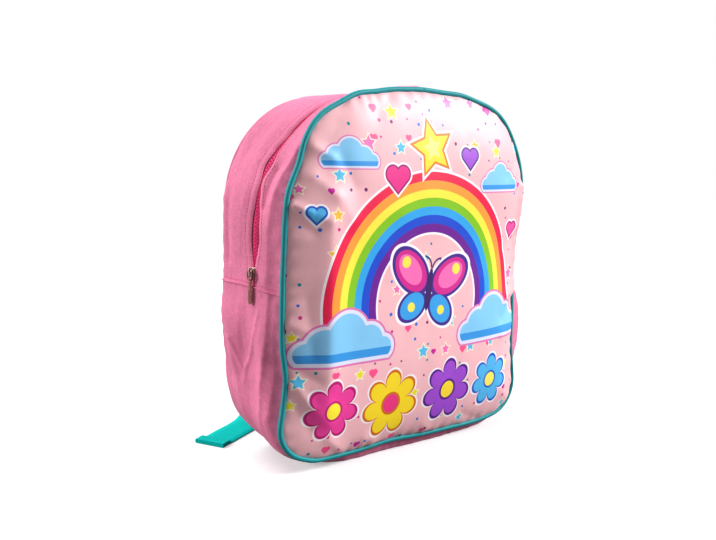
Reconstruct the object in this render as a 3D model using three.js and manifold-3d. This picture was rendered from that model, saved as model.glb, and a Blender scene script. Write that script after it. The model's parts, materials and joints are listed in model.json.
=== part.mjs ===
// A child's soft backpack, standing on its base: a hollow bag of thin cloth with a piped, puffed front panel,
// a band all round its sides that a zip divides from the middle of one side over the top to the other, a back
// panel with two padded shoulder straps, and a loop to hang it by. Millimetres, X across the bag, the front
// faces -Y, Z is up and the floor is at zero.
import * as THREE from 'three';
import Module from 'manifold-3d';

const wasm = await Module();
wasm.setup();

// The bag's main sizes
const DEPTH = 80; // front seam to back seam
const FRONT_WIDTH = 280; // the front seam, side to side
const FRONT_HEIGHT = 310;
const FRONT_FOOT = 10; // the front seam's lowest stretch, above the floor
const FRONT_TOP_RADIUS = 99;
const FRONT_BOTTOM_RADIUS = 36;
const BACK_WIDTH = 293; // the back seam, side to side
const BACK_HEIGHT = 309;
const BACK_FOOT = 4;
const BACK_TOP_RADIUS = 92;
const BACK_BOTTOM_RADIUS = 80;
const JOIN_HEIGHT = 155; // the cross seam that closes each end of the zip
const FRONT_PUFF = 21; // how far the stuffed front panel stands out of its seam
const BACK_PUFF = 5;

// Cloth, cord and the gap left at each seam
const CLOTH = 1.5;
const SEAM_GAP = 0.3;
const PIPING_RADIUS = 2.3;

// The zip, which lies below the edges of the two bands that it joins
const ZIP_LINE = 0.36; // where it runs across the side band, as a share from front to back
const TAPE_WIDTH = 20;
const TAPE_THICKNESS = 1;
const COIL_WIDTH = 4;
const COIL_HEIGHT = 1.2;
const ZIP_MOUTH = 9; // the widest gap between the two bands' edges

// The slider and its pull
const SLIDER_ABOVE_JOIN = 15.5; // up to the pull's turning line
const SLIDER_WIDTH = 7;
const SLIDER_LENGTH = 10;
const SLIDER_RISE = 1.6; // its plate's top above the cloth
const BRIDGE_LENGTH = 7.8;
const BRIDGE_WIDTH = 2.2;
const BRIDGE_BAR = 1.3;
const PULL_THICKNESS = 1.2;
const PULL_EYE_LENGTH = 7.8;
const PULL_EYE_WIDTH = 6;
const PULL_EYE_RIM = 1.4;
const PULL_TAB_WIDTH = 4.4;
const PULL_TAB_LENGTH = 16.4;
const PULL_PLAY = 0.35;

// The straps
const WEB_WIDTH = 30;
const WEB_THICKNESS = 1.5;
const HEM_THICKNESS = 3.8; // the free end, folded twice and stitched
const PAD_WIDTH = 42;
const PAD_THICKNESS = 7;
const PAD_TOP_X = 54;
const PAD_LENGTH_DOWN = 176; // from the pad's top to its lower end, straight down
const LOCK_WIDTH = 38;
const LOCK_THICKNESS = 3;
const LOCK_BAR = 3.5;
const LOCK_SLOT = 7;
const STRAP_BOW = 55; // how far the straps stand out behind the back seam
const HANDLE_WIDTH = 22;
const HANDLE_SPAN = 66;
const HANDLE_BOW = 13;

const FRONT_Y = -DEPTH / 2;
const BACK_Y = DEPTH / 2;
const MIDDLE = new THREE.Vector3(0, 0, JOIN_HEIGHT);

const FRONT_SEAM = {
  width: FRONT_WIDTH, height: FRONT_HEIGHT, foot: FRONT_FOOT,
  topRadius: FRONT_TOP_RADIUS, bottomRadius: FRONT_BOTTOM_RADIUS, y: FRONT_Y,
  // at: share of the way round from the bottom centre, positive up the right side and negative up the left.
  // span is a share of the same way, out and back are shares of DEPTH.
  dents: [
    { at: -0.9, span: 0.03, out: -0.032, back: 0 },
    { at: -0.83, span: 0.035, out: -0.021, back: 0 },
    { at: -0.787, span: 0.03, out: 0.014, back: 0 },
    { at: -0.702, span: 0.036, out: -0.062, back: 0 },
    { at: -0.65, span: 0.04, out: -0.015, back: 0 },
    { at: -0.51, span: 0.05, out: 0.011, back: 0 },
    { at: -0.44, span: 0.04, out: 0.007, back: 0 },
    { at: -0.375, span: 0.035, out: -0.044, back: 0 },
    { at: -0.33, span: 0.03, out: -0.012, back: 0 },
    { at: -0.29, span: 0.026, out: 0.016, back: 0 },
    { at: -0.22, span: 0.024, out: -0.022, back: 0 },
    { at: -0.04, span: 0.05, out: -0.029, back: 0 },
    { at: 0.14, span: 0.035, out: 0.006, back: 0 },
    { at: 0.21, span: 0.03, out: -0.023, back: 0 },
    { at: 0.36, span: 0.05, out: -0.045, back: 0 },
    { at: 0.42, span: 0.07, out: -0.042, back: 0.012 },
    { at: 0.53, span: 0.085, out: -0.05, back: 0.07 },
    { at: 0.66, span: 0.05, out: -0.013, back: 0 },
    { at: 0.8, span: 0.045, out: 0.03, back: 0 },
    { at: 0.875, span: 0.035, out: -0.016, back: 0 },
    { at: 1, span: 0.04, out: 0.017, back: 0 },
  ],
};
const BACK_SEAM = {
  width: BACK_WIDTH, height: BACK_HEIGHT, foot: BACK_FOOT,
  topRadius: BACK_TOP_RADIUS, bottomRadius: BACK_BOTTOM_RADIUS, y: BACK_Y,
  dents: [
    { at: -0.32, span: 0.08, out: -0.03, back: 0 },
    { at: 0.46, span: 0.12, out: -0.03, back: 0 },
  ],
};

// How far the side band stands out of the straight line between its two seams, as shares of DEPTH.
// at is the share of the way round, as above, and each column is a place across the band, front to back.
const BAND_PLACES = [0, 0.07, 0.2, 0.36, 0.475, 0.6, 0.78, 0.93, 1];
const BAND_SECTIONS = [
  { at: -1, out: [0, 0.05, 0.06, 0.045, 0.035, 0.035, 0.03, 0.02, 0] },
  { at: -0.85, out: [0, 0, -0.015, -0.03, -0.015, 0, 0.02, 0.015, 0] },
  { at: -0.76, out: [0, -0.005, -0.035, -0.055, -0.035, 0, 0.03, 0.03, 0] },
  { at: -0.7, out: [0, 0.025, 0.05, 0.058, 0.05, 0.055, 0.055, 0.04, 0] },
  { at: -0.64, out: [0, 0.03, 0.06, 0.08, 0.078, 0.09, 0.1, 0.07, 0] },
  { at: -0.506, out: [0, 0.015, 0.075, 0.09, 0.085, 0.09, 0.1, 0.065, 0] },
  { at: -0.38, out: [0, 0.03, 0.13, 0.1, 0.095, 0.12, 0.13, 0.09, 0] },
  { at: -0.29, out: [0, 0.05, 0.09, 0.07, 0.06, 0.07, 0.07, 0.05, 0] },
  { at: -0.2, out: [0, 0.06, 0.075, 0.06, 0.04, 0.04, 0.04, 0.03, 0] },
  { at: -0.12, out: [0, 0.12, 0.16, 0.19, 0.19, 0.19, 0.16, 0.08, 0] },
  { at: 0.12, out: [0, 0.12, 0.16, 0.19, 0.19, 0.19, 0.16, 0.08, 0] },
  { at: 0.25, out: [0, 0.08, 0.16, 0.17, 0.16, 0.14, 0.12, 0.07, 0] },
  { at: 0.3, out: [0, 0.08, 0.15, 0.16, 0.15, 0.14, 0.12, 0.07, 0] },
  { at: 0.37, out: [0, 0.21, 0.27, 0.25, 0.23, 0.2, 0.16, 0.1, 0] },
  { at: 0.43, out: [0, 0.2, 0.265, 0.24, 0.21, 0.18, 0.15, 0.1, 0] },
  { at: 0.506, out: [0, 0.05, 0.12, 0.14, 0.14, 0.14, 0.14, 0.09, 0] },
  { at: 0.64, out: [0, 0.03, 0.08, 0.1, 0.1, 0.11, 0.12, 0.08, 0] },
  { at: 0.76, out: [0, 0, -0.02, -0.035, -0.02, 0.01, 0.05, 0.04, 0] },
  { at: 0.86, out: [0, 0, -0.01, -0.02, -0.01, 0.02, 0.04, 0.03, 0] },
  { at: 1, out: [0, 0.05, 0.06, 0.045, 0.035, 0.035, 0.03, 0.02, 0] },
];

// Folds and dents of the front panel: across and up are shares of the panel from its left bottom corner,
// long and wide are shares of FRONT_HEIGHT, turn is degrees from level, and deep is a share of FRONT_PUFF.
const PANEL_FOLDS = [
  { across: 0.12, up: 0.6, long: 0.12, wide: 0.03, turn: -42, deep: 0.3 },
  { across: 0.1, up: 0.8, long: 0.1, wide: 0.045, turn: 40, deep: 0.24 },
  { across: 0.22, up: 0.74, long: 0.09, wide: 0.035, turn: -50, deep: 0.2 },
  { across: 0.08, up: 0.22, long: 0.1, wide: 0.03, turn: 20, deep: 0.3 },
  { across: 0.92, up: 0.46, long: 0.14, wide: 0.07, turn: 78, deep: 0.3 },
  { across: 0.2, up: 0.4, long: 0.18, wide: 0.03, turn: 84, deep: 0.12 },
];

// The gap between the two bands' edges over the zip: at runs from the right join over the top to the left one,
// and mouth is a share of ZIP_MOUTH.
const ZIP_OPENNESS = [
  { at: 0, mouth: 0.45 }, { at: 0.08, mouth: 0.6 }, { at: 0.2, mouth: 0.45 }, { at: 0.34, mouth: 0.3 },
  { at: 0.5, mouth: 0.26 }, { at: 0.66, mouth: 0.24 }, { at: 0.72, mouth: 0.38 }, { at: 0.75, mouth: 0.24 },
  { at: 0.78, mouth: 0.6 }, { at: 0.804, mouth: 0.85 }, { at: 0.835, mouth: 0.26 }, { at: 0.86, mouth: 0.45 },
  { at: 0.9, mouth: 0.8 }, { at: 0.925, mouth: 1.05 }, { at: 0.945, mouth: 0.95 }, { at: 0.96, mouth: 0.92 },
  { at: 0.995, mouth: 0.92 }, { at: 1, mouth: 0.9 },
];

const clamp01 = (x) => Math.min(1, Math.max(0, x));
const smooth = (x) => x * x * (3 - 2 * x);
const vec = (x, y, z) => new THREE.Vector3(x, y, z);

// The value of a table's column at a place, easing from row to row.
function fromRows(rows, place, value) {
  const next = rows.findIndex((row) => row.at >= place);
  if (next <= 0) return value(rows[next < 0 ? rows.length - 1 : 0]);
  const [low, high] = [rows[next - 1], rows[next]];
  const share = smooth((place - low.at) / (high.at - low.at));
  return value(low) * (1 - share) + value(high) * share;
}

// Half of a seam from the bottom centre to the top centre, as legs whose ends are shares of the front seam.
function legLengths(seam) {
  const quarter = Math.PI / 2;
  return [
    seam.width / 2 - seam.bottomRadius,
    quarter * seam.bottomRadius,
    JOIN_HEIGHT - seam.foot - seam.bottomRadius,
    seam.foot + seam.height - seam.topRadius - JOIN_HEIGHT,
    quarter * seam.topRadius,
    seam.width / 2 - seam.topRadius,
  ];
}
const FRONT_LEGS = legLengths(FRONT_SEAM);
const HALF_WAY = FRONT_LEGS.reduce((a, b) => a + b);
const LEG_ENDS = FRONT_LEGS.map((_, i) => FRONT_LEGS.slice(0, i + 1).reduce((a, b) => a + b) / HALF_WAY);
const [FLAT_END, CORNER_END, JOIN, SIDE_END, TOP_CORNER_END] = LEG_ENDS;

// The point of a seam at a share of the way round, with its outward direction in the XZ plane.
function seamAt(seam, at) {
  const way = Math.abs(at);
  const side = at < 0 ? -1 : 1;
  const leg = Math.min(LEG_ENDS.findIndex((end) => way <= end + 1e-9), 5);
  const start = leg ? LEG_ENDS[leg - 1] : 0;
  const share = clamp01((way - start) / (LEG_ENDS[leg] - start));
  const half = seam.width / 2;
  const top = seam.foot + seam.height;
  const around = (radius, z, degrees) => {
    const angle = THREE.MathUtils.degToRad(degrees);
    const [nx, nz] = [Math.cos(angle), Math.sin(angle)];
    return { x: half - radius + radius * nx, z: z + radius * nz, nx, nz };
  };
  const lowSide = seam.foot + seam.bottomRadius;
  const highSide = top - seam.topRadius;
  const point = [
    () => ({ x: share * (half - seam.bottomRadius), z: seam.foot, nx: 0, nz: -1 }),
    () => around(seam.bottomRadius, lowSide, -90 + 90 * share),
    () => ({ x: half, z: lowSide + share * (JOIN_HEIGHT - lowSide), nx: 1, nz: 0 }),
    () => ({ x: half, z: JOIN_HEIGHT + share * (highSide - JOIN_HEIGHT), nx: 1, nz: 0 }),
    () => around(seam.topRadius, highSide, 90 * share),
    () => ({ x: (1 - share) * (half - seam.topRadius), z: top, nx: 0, nz: 1 }),
  ][leg]();
  let [out, back] = [0, 0];
  for (const dent of seam.dents) {
    let away = Math.abs(at - dent.at);
    away = Math.min(away, 2 - away);
    const swell = Math.exp(-((away / dent.span) ** 2)) * DEPTH;
    out += dent.out * swell;
    back += dent.back * swell;
  }
  const outward = vec(side * point.nx, 0, point.nz);
  return { place: vec(side * point.x, seam.y + back, point.z).addScaledVector(outward, out), outward };
}

// A place on the side band's outer face, flattened where the bag stands on it.
const BAND_FRONT_STEP = PIPING_RADIUS + SEAM_GAP + 0.2;
function bandAt(at, across) {
  const front = seamAt(FRONT_SEAM, at);
  const back = seamAt(BACK_SEAM, at);
  const from = front.place.clone().addScaledVector(front.outward, -PIPING_RADIUS / 4);
  from.y += BAND_FRONT_STEP;
  const to = back.place.clone();
  to.y -= CLOTH + SEAM_GAP;
  const outward = front.outward.clone().lerp(back.outward, across).normalize();
  const column = Math.min(BAND_PLACES.findIndex((place) => across <= place + 1e-9), BAND_PLACES.length - 1);
  const before = Math.max(column - 1, 0);
  const width = BAND_PLACES[column] - BAND_PLACES[before];
  const share = width > 0 ? smooth((across - BAND_PLACES[before]) / width) : 0;
  const out = fromRows(BAND_SECTIONS, at, (row) => row.out[before] * (1 - share) + row.out[column] * share);
  const place = from.lerp(to, across).addScaledVector(outward, out * DEPTH);
  place.z = Math.max(place.z, 0);
  return place;
}

// A place on a panel that fills a seam, drawn in from it by an inset, from shares across and up.
const LOW_CORNER = (FLAT_END + CORNER_END) / 2;
const HIGH_CORNER = (SIDE_END + TOP_CORNER_END) / 2;
function panelAt(seam, inset, across, up) {
  const rim = (at) => {
    const { place, outward } = seamAt(seam, at);
    return place.addScaledVector(outward, -inset);
  };
  const side = LOW_CORNER + (HIGH_CORNER - LOW_CORNER) * up;
  const turn = across - 0.5;
  const overTop = Math.sign(turn || 1) * (1 - (1 - HIGH_CORNER) * Math.abs(2 * turn));
  const low = rim(LOW_CORNER * 2 * turn);
  const high = rim(overTop);
  const left = rim(-side);
  const right = rim(side);
  const corner = (x, z) => rim(x * (z > 0 ? HIGH_CORNER : LOW_CORNER));
  const flat = low.multiplyScalar(1 - up).addScaledVector(high, up)
    .addScaledVector(left, 1 - across).addScaledVector(right, across);
  return flat
    .addScaledVector(corner(-1, -1), -(1 - across) * (1 - up)).addScaledVector(corner(1, -1), -across * (1 - up))
    .addScaledVector(corner(-1, 1), -(1 - across) * up).addScaledVector(corner(1, 1), -across * up);
}

const rounded = (share) => (1 - Math.abs(2 * clamp01(share) - 1) ** 3) ** 0.72;

const EDGE_FRONT = 0.3; // the panel's edge lies a little before the piping's middle
function frontAt(across, up) {
  const place = panelAt(FRONT_SEAM, PIPING_RADIUS + SEAM_GAP * 3, across, up);
  let puff = 1;
  for (const fold of PANEL_FOLDS) {
    const angle = THREE.MathUtils.degToRad(fold.turn);
    const x = (across - fold.across) * FRONT_WIDTH;
    const z = (up - fold.up) * FRONT_HEIGHT;
    const along = (x * Math.cos(angle) + z * Math.sin(angle)) / (fold.long * FRONT_HEIGHT);
    const beside = (z * Math.cos(angle) - x * Math.sin(angle)) / (fold.wide * FRONT_HEIGHT);
    puff -= fold.deep * Math.exp(-along * along - beside * beside);
  }
  place.y -= EDGE_FRONT + FRONT_PUFF * puff * rounded(across) * rounded(up);
  return place;
}

function backAt(across, up) {
  const place = panelAt(BACK_SEAM, -CLOTH / 4, across, up);
  place.y += BACK_PUFF * rounded(across) * rounded(up);
  return place;
}

// How far back the back panel's outer face lies at a place on it.
const BACK_SAMPLES = 48;
const BACK_FACE = Array.from({ length: (BACK_SAMPLES + 1) ** 2 }, (_, i) =>
  backAt((i % (BACK_SAMPLES + 1)) / BACK_SAMPLES, Math.floor(i / (BACK_SAMPLES + 1)) / BACK_SAMPLES));
function backFaceY(x, z, reach) {
  return Math.max(...BACK_FACE.filter((p) => Math.hypot(p.x - x, p.z - z) < reach).map((p) => p.y));
}

// A closed geometry from points and triangles, turned so that its faces point out.
function closed(points, triangles) {
  let volume = 0;
  for (const [a, b, c] of triangles) volume += points[a].dot(points[b].clone().cross(points[c]));
  const index = triangles.flatMap(([a, b, c]) => (volume < 0 ? [a, c, b] : [a, b, c]));
  return new THREE.BufferGeometry()
    .setAttribute('position', new THREE.Float32BufferAttribute(points.flatMap((p) => [p.x, p.y, p.z]), 3))
    .setIndex(index);
}

// A wall of cloth over a grid of a face's places, between two depths below that face.
function wall(columns, rows, face, top, bottom) {
  const grid = [];
  for (let i = 0; i <= columns; i++) for (let j = 0; j <= rows; j++) grid.push(face(i / columns, j / rows));
  const id = (i, j) => i * (rows + 1) + j;
  const at = (i, j) => grid[id(Math.min(Math.max(i, 0), columns), Math.min(Math.max(j, 0), rows))];
  const points = [];
  for (const depth of [top, bottom]) {
    for (let i = 0; i <= columns; i++) {
      for (let j = 0; j <= rows; j++) {
        const along = at(i + 1, j).clone().sub(at(i - 1, j));
        const normal = along.cross(at(i, j + 1).clone().sub(at(i, j - 1))).normalize();
        if (normal.dot(at(i, j).clone().sub(MIDDLE)) < 0) normal.negate();
        points.push(at(i, j).clone().addScaledVector(normal, -depth));
      }
    }
  }
  const below = grid.length;
  const triangles = [];
  const quad = (a, b, c, d) => triangles.push([a, b, c], [a, c, d]);
  for (let i = 0; i < columns; i++) {
    for (let j = 0; j < rows; j++) {
      const [a, b, c, d] = [id(i, j), id(i + 1, j), id(i + 1, j + 1), id(i, j + 1)];
      quad(a, b, c, d);
      quad(below + d, below + c, below + b, below + a);
    }
  }
  const edge = (a, b) => quad(b, a, below + a, below + b);
  for (let i = 0; i < columns; i++) {
    edge(id(i, 0), id(i + 1, 0));
    edge(id(i + 1, rows), id(i, rows));
  }
  for (let j = 0; j < rows; j++) {
    edge(id(columns, j), id(columns, j + 1));
    edge(id(0, j + 1), id(0, j));
  }
  return closed(points, triangles);
}

// A skin over rings of points, each as long as the others, closed at its ends or joined into a loop.
function skin(rings, looped) {
  const size = rings[0].length;
  const points = rings.flat();
  const triangles = [];
  const spans = looped ? rings.length : rings.length - 1;
  for (let i = 0; i < spans; i++) {
    for (let j = 0; j < size; j++) {
      const [here, next] = [i * size, ((i + 1) % rings.length) * size];
      const other = (j + 1) % size;
      triangles.push([here + j, next + j, next + other], [here + j, next + other, here + other]);
    }
  }
  const last = (rings.length - 1) * size;
  for (let j = 1; j < size - 1 && !looped; j++) {
    triangles.push([0, j, j + 1], [last, last + j + 1, last + j]);
  }
  return closed(points, triangles);
}

// Stations along a route whose rows hold a place and the turn of its width about Z in degrees, from level across.
function stations(route, steps) {
  const line = new THREE.CatmullRomCurve3(route.map((row) => row.place), false, 'centripetal');
  const count = (route.length - 1) * steps;
  return Array.from({ length: count + 1 }, (_, i) => {
    const share = i / count;
    const row = Math.min(Math.floor(share * (route.length - 1)), route.length - 2);
    const between = share * (route.length - 1) - row;
    const value = (name) => route[row][name] * (1 - between) + route[row + 1][name] * between;
    const angle = THREE.MathUtils.degToRad(value('turn'));
    const tangent = line.getTangent(share);
    const across = vec(Math.cos(angle), Math.sin(angle), 0);
    if (route[row].upright) across.set(0, 0, 1);
    across.addScaledVector(tangent, -across.dot(tangent)).normalize();
    return { place: line.getPoint(share), across, normal: tangent.clone().cross(across), thick: value('thick') };
  });
}

// A flat band along a route.
function band(route, width, steps) {
  const rings = stations(route, steps).map(({ place, across, normal, thick }) =>
    [[-1, -1], [1, -1], [1, 1], [-1, 1]].map(([a, b]) =>
      place.clone().addScaledVector(across, (a * width) / 2).addScaledVector(normal, (b * thick) / 2)));
  return skin(rings, false);
}

// Front panel, back panel and piping
const PANEL_COLUMNS = 20;
const PANEL_ROWS = 22;
const frontPanel = () => wall(PANEL_COLUMNS, PANEL_ROWS, frontAt, 0, CLOTH);
const backPanel = () => wall(16, 18, backAt, 0, CLOTH);

function frontPiping() {
  const PIPING_STEPS = 104;
  const PIPING_SIDES = 8;
  const rings = Array.from({ length: PIPING_STEPS }, (_, i) => {
    const { place, outward } = seamAt(FRONT_SEAM, -1 + (2 * i) / PIPING_STEPS);
    return Array.from({ length: PIPING_SIDES }, (_, j) => {
      const angle = (2 * Math.PI * j) / PIPING_SIDES;
      const point = place.clone().addScaledVector(outward, PIPING_RADIUS * Math.cos(angle));
      point.y += PIPING_RADIUS * Math.sin(angle);
      return point;
    });
  });
  return skin(rings, true);
}

// The side bands: one below the joins, and two above them with the zip between
const JOIN_STEP = SEAM_GAP / 2 / HALF_WAY;
const BAND_ACROSS = DEPTH - BAND_FRONT_STEP - CLOTH - SEAM_GAP;
const lowerBand = () => wall(36, 9, (i, j) => bandAt((2 * i - 1) * (JOIN - JOIN_STEP), j), 0, CLOTH);

// The share of the way round of a place over the arch, from the right join at 0 to the left one at 1.
function archWay(share) {
  const at = JOIN + JOIN_STEP + share * 2 * (1 - JOIN - JOIN_STEP);
  return at > 1 ? at - 2 : at;
}
const mouthHalf = (share) => (fromRows(ZIP_OPENNESS, share, (row) => row.mouth) * ZIP_MOUTH) / 2 / BAND_ACROSS;
const ARCH_STEPS = 40;
const frontArch = () => wall(ARCH_STEPS, 3, (i, j) => bandAt(archWay(i), j * (ZIP_LINE - mouthHalf(i))), 0, CLOTH);
const rearArch = () =>
  wall(ARCH_STEPS, 5, (i, j) => bandAt(archWay(i), 1 - j * (1 - ZIP_LINE - mouthHalf(i))), 0, CLOTH);

function underZip(width, top, thickness) {
  const half = width / 2 / BAND_ACROSS;
  return wall(ARCH_STEPS, 2, (i, j) => bandAt(archWay(i), ZIP_LINE + (2 * j - 1) * half), top, top + thickness);
}
const COIL_TOP = CLOTH + SEAM_GAP;
const TAPE_TOP = COIL_TOP + COIL_HEIGHT + SEAM_GAP;
const zipCoil = () => underZip(COIL_WIDTH, COIL_TOP, COIL_HEIGHT);
const zipTape = () => underZip(TAPE_WIDTH, TAPE_TOP, TAPE_THICKNESS);

// manifold-3d solids of three.js geometries, for the pieces that are joined
function solid(geometry) {
  const plain = geometry.index ? geometry.toNonIndexed() : geometry;
  const position = plain.getAttribute('position');
  const keys = new Map();
  const vertices = [];
  const triangles = Array.from({ length: position.count }, (_, i) => {
    const p = [position.getX(i), position.getY(i), position.getZ(i)];
    const key = p.map((x) => x.toFixed(4)).join();
    if (!keys.has(key)) keys.set(key, vertices.push(...p) / 3 - 1);
    return keys.get(key);
  });
  return new wasm.Manifold(new wasm.Mesh({
    numProp: 3, vertProperties: new Float32Array(vertices), triVerts: new Uint32Array(triangles),
  }));
}
function geometryOf(manifold) {
  const mesh = manifold.getMesh();
  return new THREE.BufferGeometry()
    .setAttribute('position', new THREE.BufferAttribute(mesh.vertProperties, 3))
    .setIndex(new THREE.BufferAttribute(mesh.triVerts, 1));
}

// The slider in its own frame: X is up from the cloth, Y across the zip and Z along it, upwards.
// The pull turns about Y at PIVOT_RISE, just below the bridge's upper leg, and its eye lies round the lower one.
const PIVOT_RISE = SLIDER_RISE + PULL_PLAY + PULL_THICKNESS / 2;
const BRIDGE_UNDER = PIVOT_RISE + PULL_THICKNESS * 0.75 + PULL_PLAY;
const BRIDGE_HIGH = PULL_THICKNESS / 2 + PULL_PLAY + BRIDGE_BAR;
const SLIDER_UNDER = COIL_TOP - SEAM_GAP * 2;
function box(x0, x1, y0, y1, z0, z1) {
  return solid(new THREE.BoxGeometry(x1 - x0, y1 - y0, z1 - z0).translate((x0 + x1) / 2, (y0 + y1) / 2, (z0 + z1) / 2));
}
function slider() {
  const [low, high] = [BRIDGE_HIGH - BRIDGE_LENGTH, BRIDGE_HIGH];
  const middle = (low + high) / 2;
  const [nose, tail] = [SLIDER_WIDTH / 2, SLIDER_WIDTH / 2.6];
  const plate = new THREE.Shape([
    new THREE.Vector2(middle - SLIDER_LENGTH / 2, -tail), new THREE.Vector2(middle + SLIDER_LENGTH / 4, -nose),
    new THREE.Vector2(middle + SLIDER_LENGTH / 2, -nose * 0.8), new THREE.Vector2(middle + SLIDER_LENGTH / 2, nose * 0.8),
    new THREE.Vector2(middle + SLIDER_LENGTH / 4, nose), new THREE.Vector2(middle - SLIDER_LENGTH / 2, tail),
  ]);
  const body = new THREE.ExtrudeGeometry(plate, { depth: SLIDER_UNDER + SLIDER_RISE, bevelEnabled: false });
  // the shape's X becomes Z and its Y stays, so the extrusion runs up from the cloth
  body.applyMatrix4(new THREE.Matrix4().set(0, 0, 1, -SLIDER_UNDER, 0, 1, 0, 0, 1, 0, 0, 0, 0, 0, 0, 1));
  body.index || body.setIndex([...Array(body.getAttribute('position').count).keys()]);
  const turned = closedCopy(body);
  const half = BRIDGE_WIDTH / 2;
  const bridgeTop = BRIDGE_UNDER + BRIDGE_BAR;
  return geometryOf(
    solid(turned)
      .add(box(SLIDER_RISE - 0.2, bridgeTop, -half, half, low, low + BRIDGE_BAR))
      .add(box(SLIDER_RISE - 0.2, bridgeTop, -half, half, high - BRIDGE_BAR, high))
      .add(box(BRIDGE_UNDER, bridgeTop, -half, half, low, high)),
  );
}

// A copy of a geometry with its faces pointing out, whatever way its matrix turned them.
function closedCopy(geometry) {
  const plain = geometry.index ? geometry.toNonIndexed() : geometry;
  const position = plain.getAttribute('position');
  const points = Array.from({ length: position.count }, (_, i) => vec().fromBufferAttribute(position, i));
  const triangles = Array.from({ length: position.count / 3 }, (_, i) => [3 * i, 3 * i + 1, 3 * i + 2]);
  return closed(points, triangles);
}

// The pull hanging from the slider's bridge: an eye round the bridge's lower leg and a narrow tab below it.
function pull() {
  const ring = PULL_EYE_WIDTH / 2 + PULL_EYE_RIM;
  const top = PULL_THICKNESS / 2;
  const eyeEnd = top - PULL_THICKNESS - PULL_EYE_LENGTH;
  const shoulder = eyeEnd - PULL_EYE_RIM;
  const tabEnd = shoulder - PULL_TAB_LENGTH;
  const half = PULL_TAB_WIDTH / 2;
  const outline = new THREE.Shape();
  outline.moveTo(top, -ring * 0.8);
  outline.lineTo(top, ring * 0.8);
  outline.lineTo(top - ring * 0.5, ring);
  outline.lineTo(eyeEnd, ring);
  outline.lineTo(shoulder - ring * 0.4, half);
  outline.lineTo(tabEnd + half, half);
  outline.absarc(tabEnd + half, 0, half, Math.PI / 2, (3 * Math.PI) / 2, false);
  outline.lineTo(shoulder - ring * 0.4, -half);
  outline.lineTo(eyeEnd, -ring);
  outline.lineTo(top - ring * 0.5, -ring);
  const eye = new THREE.Path();
  const side = PULL_EYE_WIDTH / 2;
  eye.moveTo(top - PULL_THICKNESS, -side);
  eye.lineTo(top - PULL_THICKNESS, side);
  eye.lineTo(eyeEnd, side);
  eye.lineTo(eyeEnd, -side);
  outline.holes.push(eye);
  const plate = new THREE.ExtrudeGeometry(outline, { depth: PULL_THICKNESS, bevelEnabled: false, curveSegments: 6 });
  plate.applyMatrix4(new THREE.Matrix4().set(0, 0, 1, -PULL_THICKNESS / 2, 0, 1, 0, 0, 1, 0, 0, 0, 0, 0, 0, 1));
  return closedCopy(plate);
}

// Where the straps run. A route's rows hold a place for the right strap; the left one is its mirror image.
const LOCK_HALF = (3 * LOCK_BAR + 2 * LOCK_SLOT) / 2;
const PAD_TOP_Z = BACK_FOOT + BACK_HEIGHT - 20;
const PAD_END_Z = PAD_TOP_Z - PAD_LENGTH_DOWN;
const LOOP_LENGTH = 10; // of the fixed loop that shows between a pad and its lock
const LOCK_Z = PAD_END_Z - LOOP_LENGTH - LOCK_HALF;
const LOCK_X = PAD_TOP_X + 13;
const LOCK_Y = BACK_Y + STRAP_BOW;
const SEWN = 14; // how much of a strap's end lies flat on the back panel

const row = (side, x, y, z, turn = 0, thick = WEB_THICKNESS) => ({ place: vec(side * x, y, z), turn: side * turn, thick });

function padRoute(side) {
  const onBack = (z) => backFaceY(PAD_TOP_X, z, PAD_WIDTH / 2 + 4) + SEAM_GAP + PAD_THICKNESS / 2;
  const seated = Math.max(onBack(PAD_TOP_Z), onBack(PAD_TOP_Z - SEWN));
  const bow = LOCK_Y - seated;
  const drop = PAD_LENGTH_DOWN;
  return [
    row(side, PAD_TOP_X, seated, PAD_TOP_Z, 0, PAD_THICKNESS * 0.8),
    row(side, PAD_TOP_X, seated + 0.4, PAD_TOP_Z - SEWN, 0, PAD_THICKNESS),
    row(side, PAD_TOP_X + 2, seated + bow * 0.34, PAD_TOP_Z - drop * 0.22, 0, PAD_THICKNESS),
    row(side, PAD_TOP_X + 5, seated + bow * 0.72, PAD_TOP_Z - drop * 0.42, 0, PAD_THICKNESS),
    row(side, LOCK_X - 5, seated + bow * 0.95, PAD_TOP_Z - drop * 0.66, 0, PAD_THICKNESS),
    row(side, LOCK_X - 1, LOCK_Y, PAD_TOP_Z - drop * 0.88, 0, PAD_THICKNESS),
    row(side, LOCK_X, LOCK_Y, PAD_END_Z, 0, PAD_THICKNESS),
  ];
}

// A shoulder pad: a flat cushion with rounded edges, narrower at both ends.
function pad(side) {
  const PAD_POINTS = 12;
  const list = stations(padRoute(side), 3);
  const rings = list.map(({ place, across, normal, thick }, i) => {
    const share = i / (list.length - 1);
    const end = Math.min(share, 1 - share) / 0.12;
    const half = (PAD_WIDTH / 2) * (0.74 + 0.26 * smooth(clamp01(end)));
    return Array.from({ length: PAD_POINTS }, (_, j) => {
      const angle = (2 * Math.PI * (j + 0.5)) / PAD_POINTS;
      const round = (x, power) => Math.sign(x) * Math.abs(x) ** power;
      return place.clone().addScaledVector(across, half * round(Math.cos(angle), 0.35))
        .addScaledVector(normal, (thick / 2) * round(Math.sin(angle), 0.7));
    });
  });
  return skin(rings, false);
}

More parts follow.
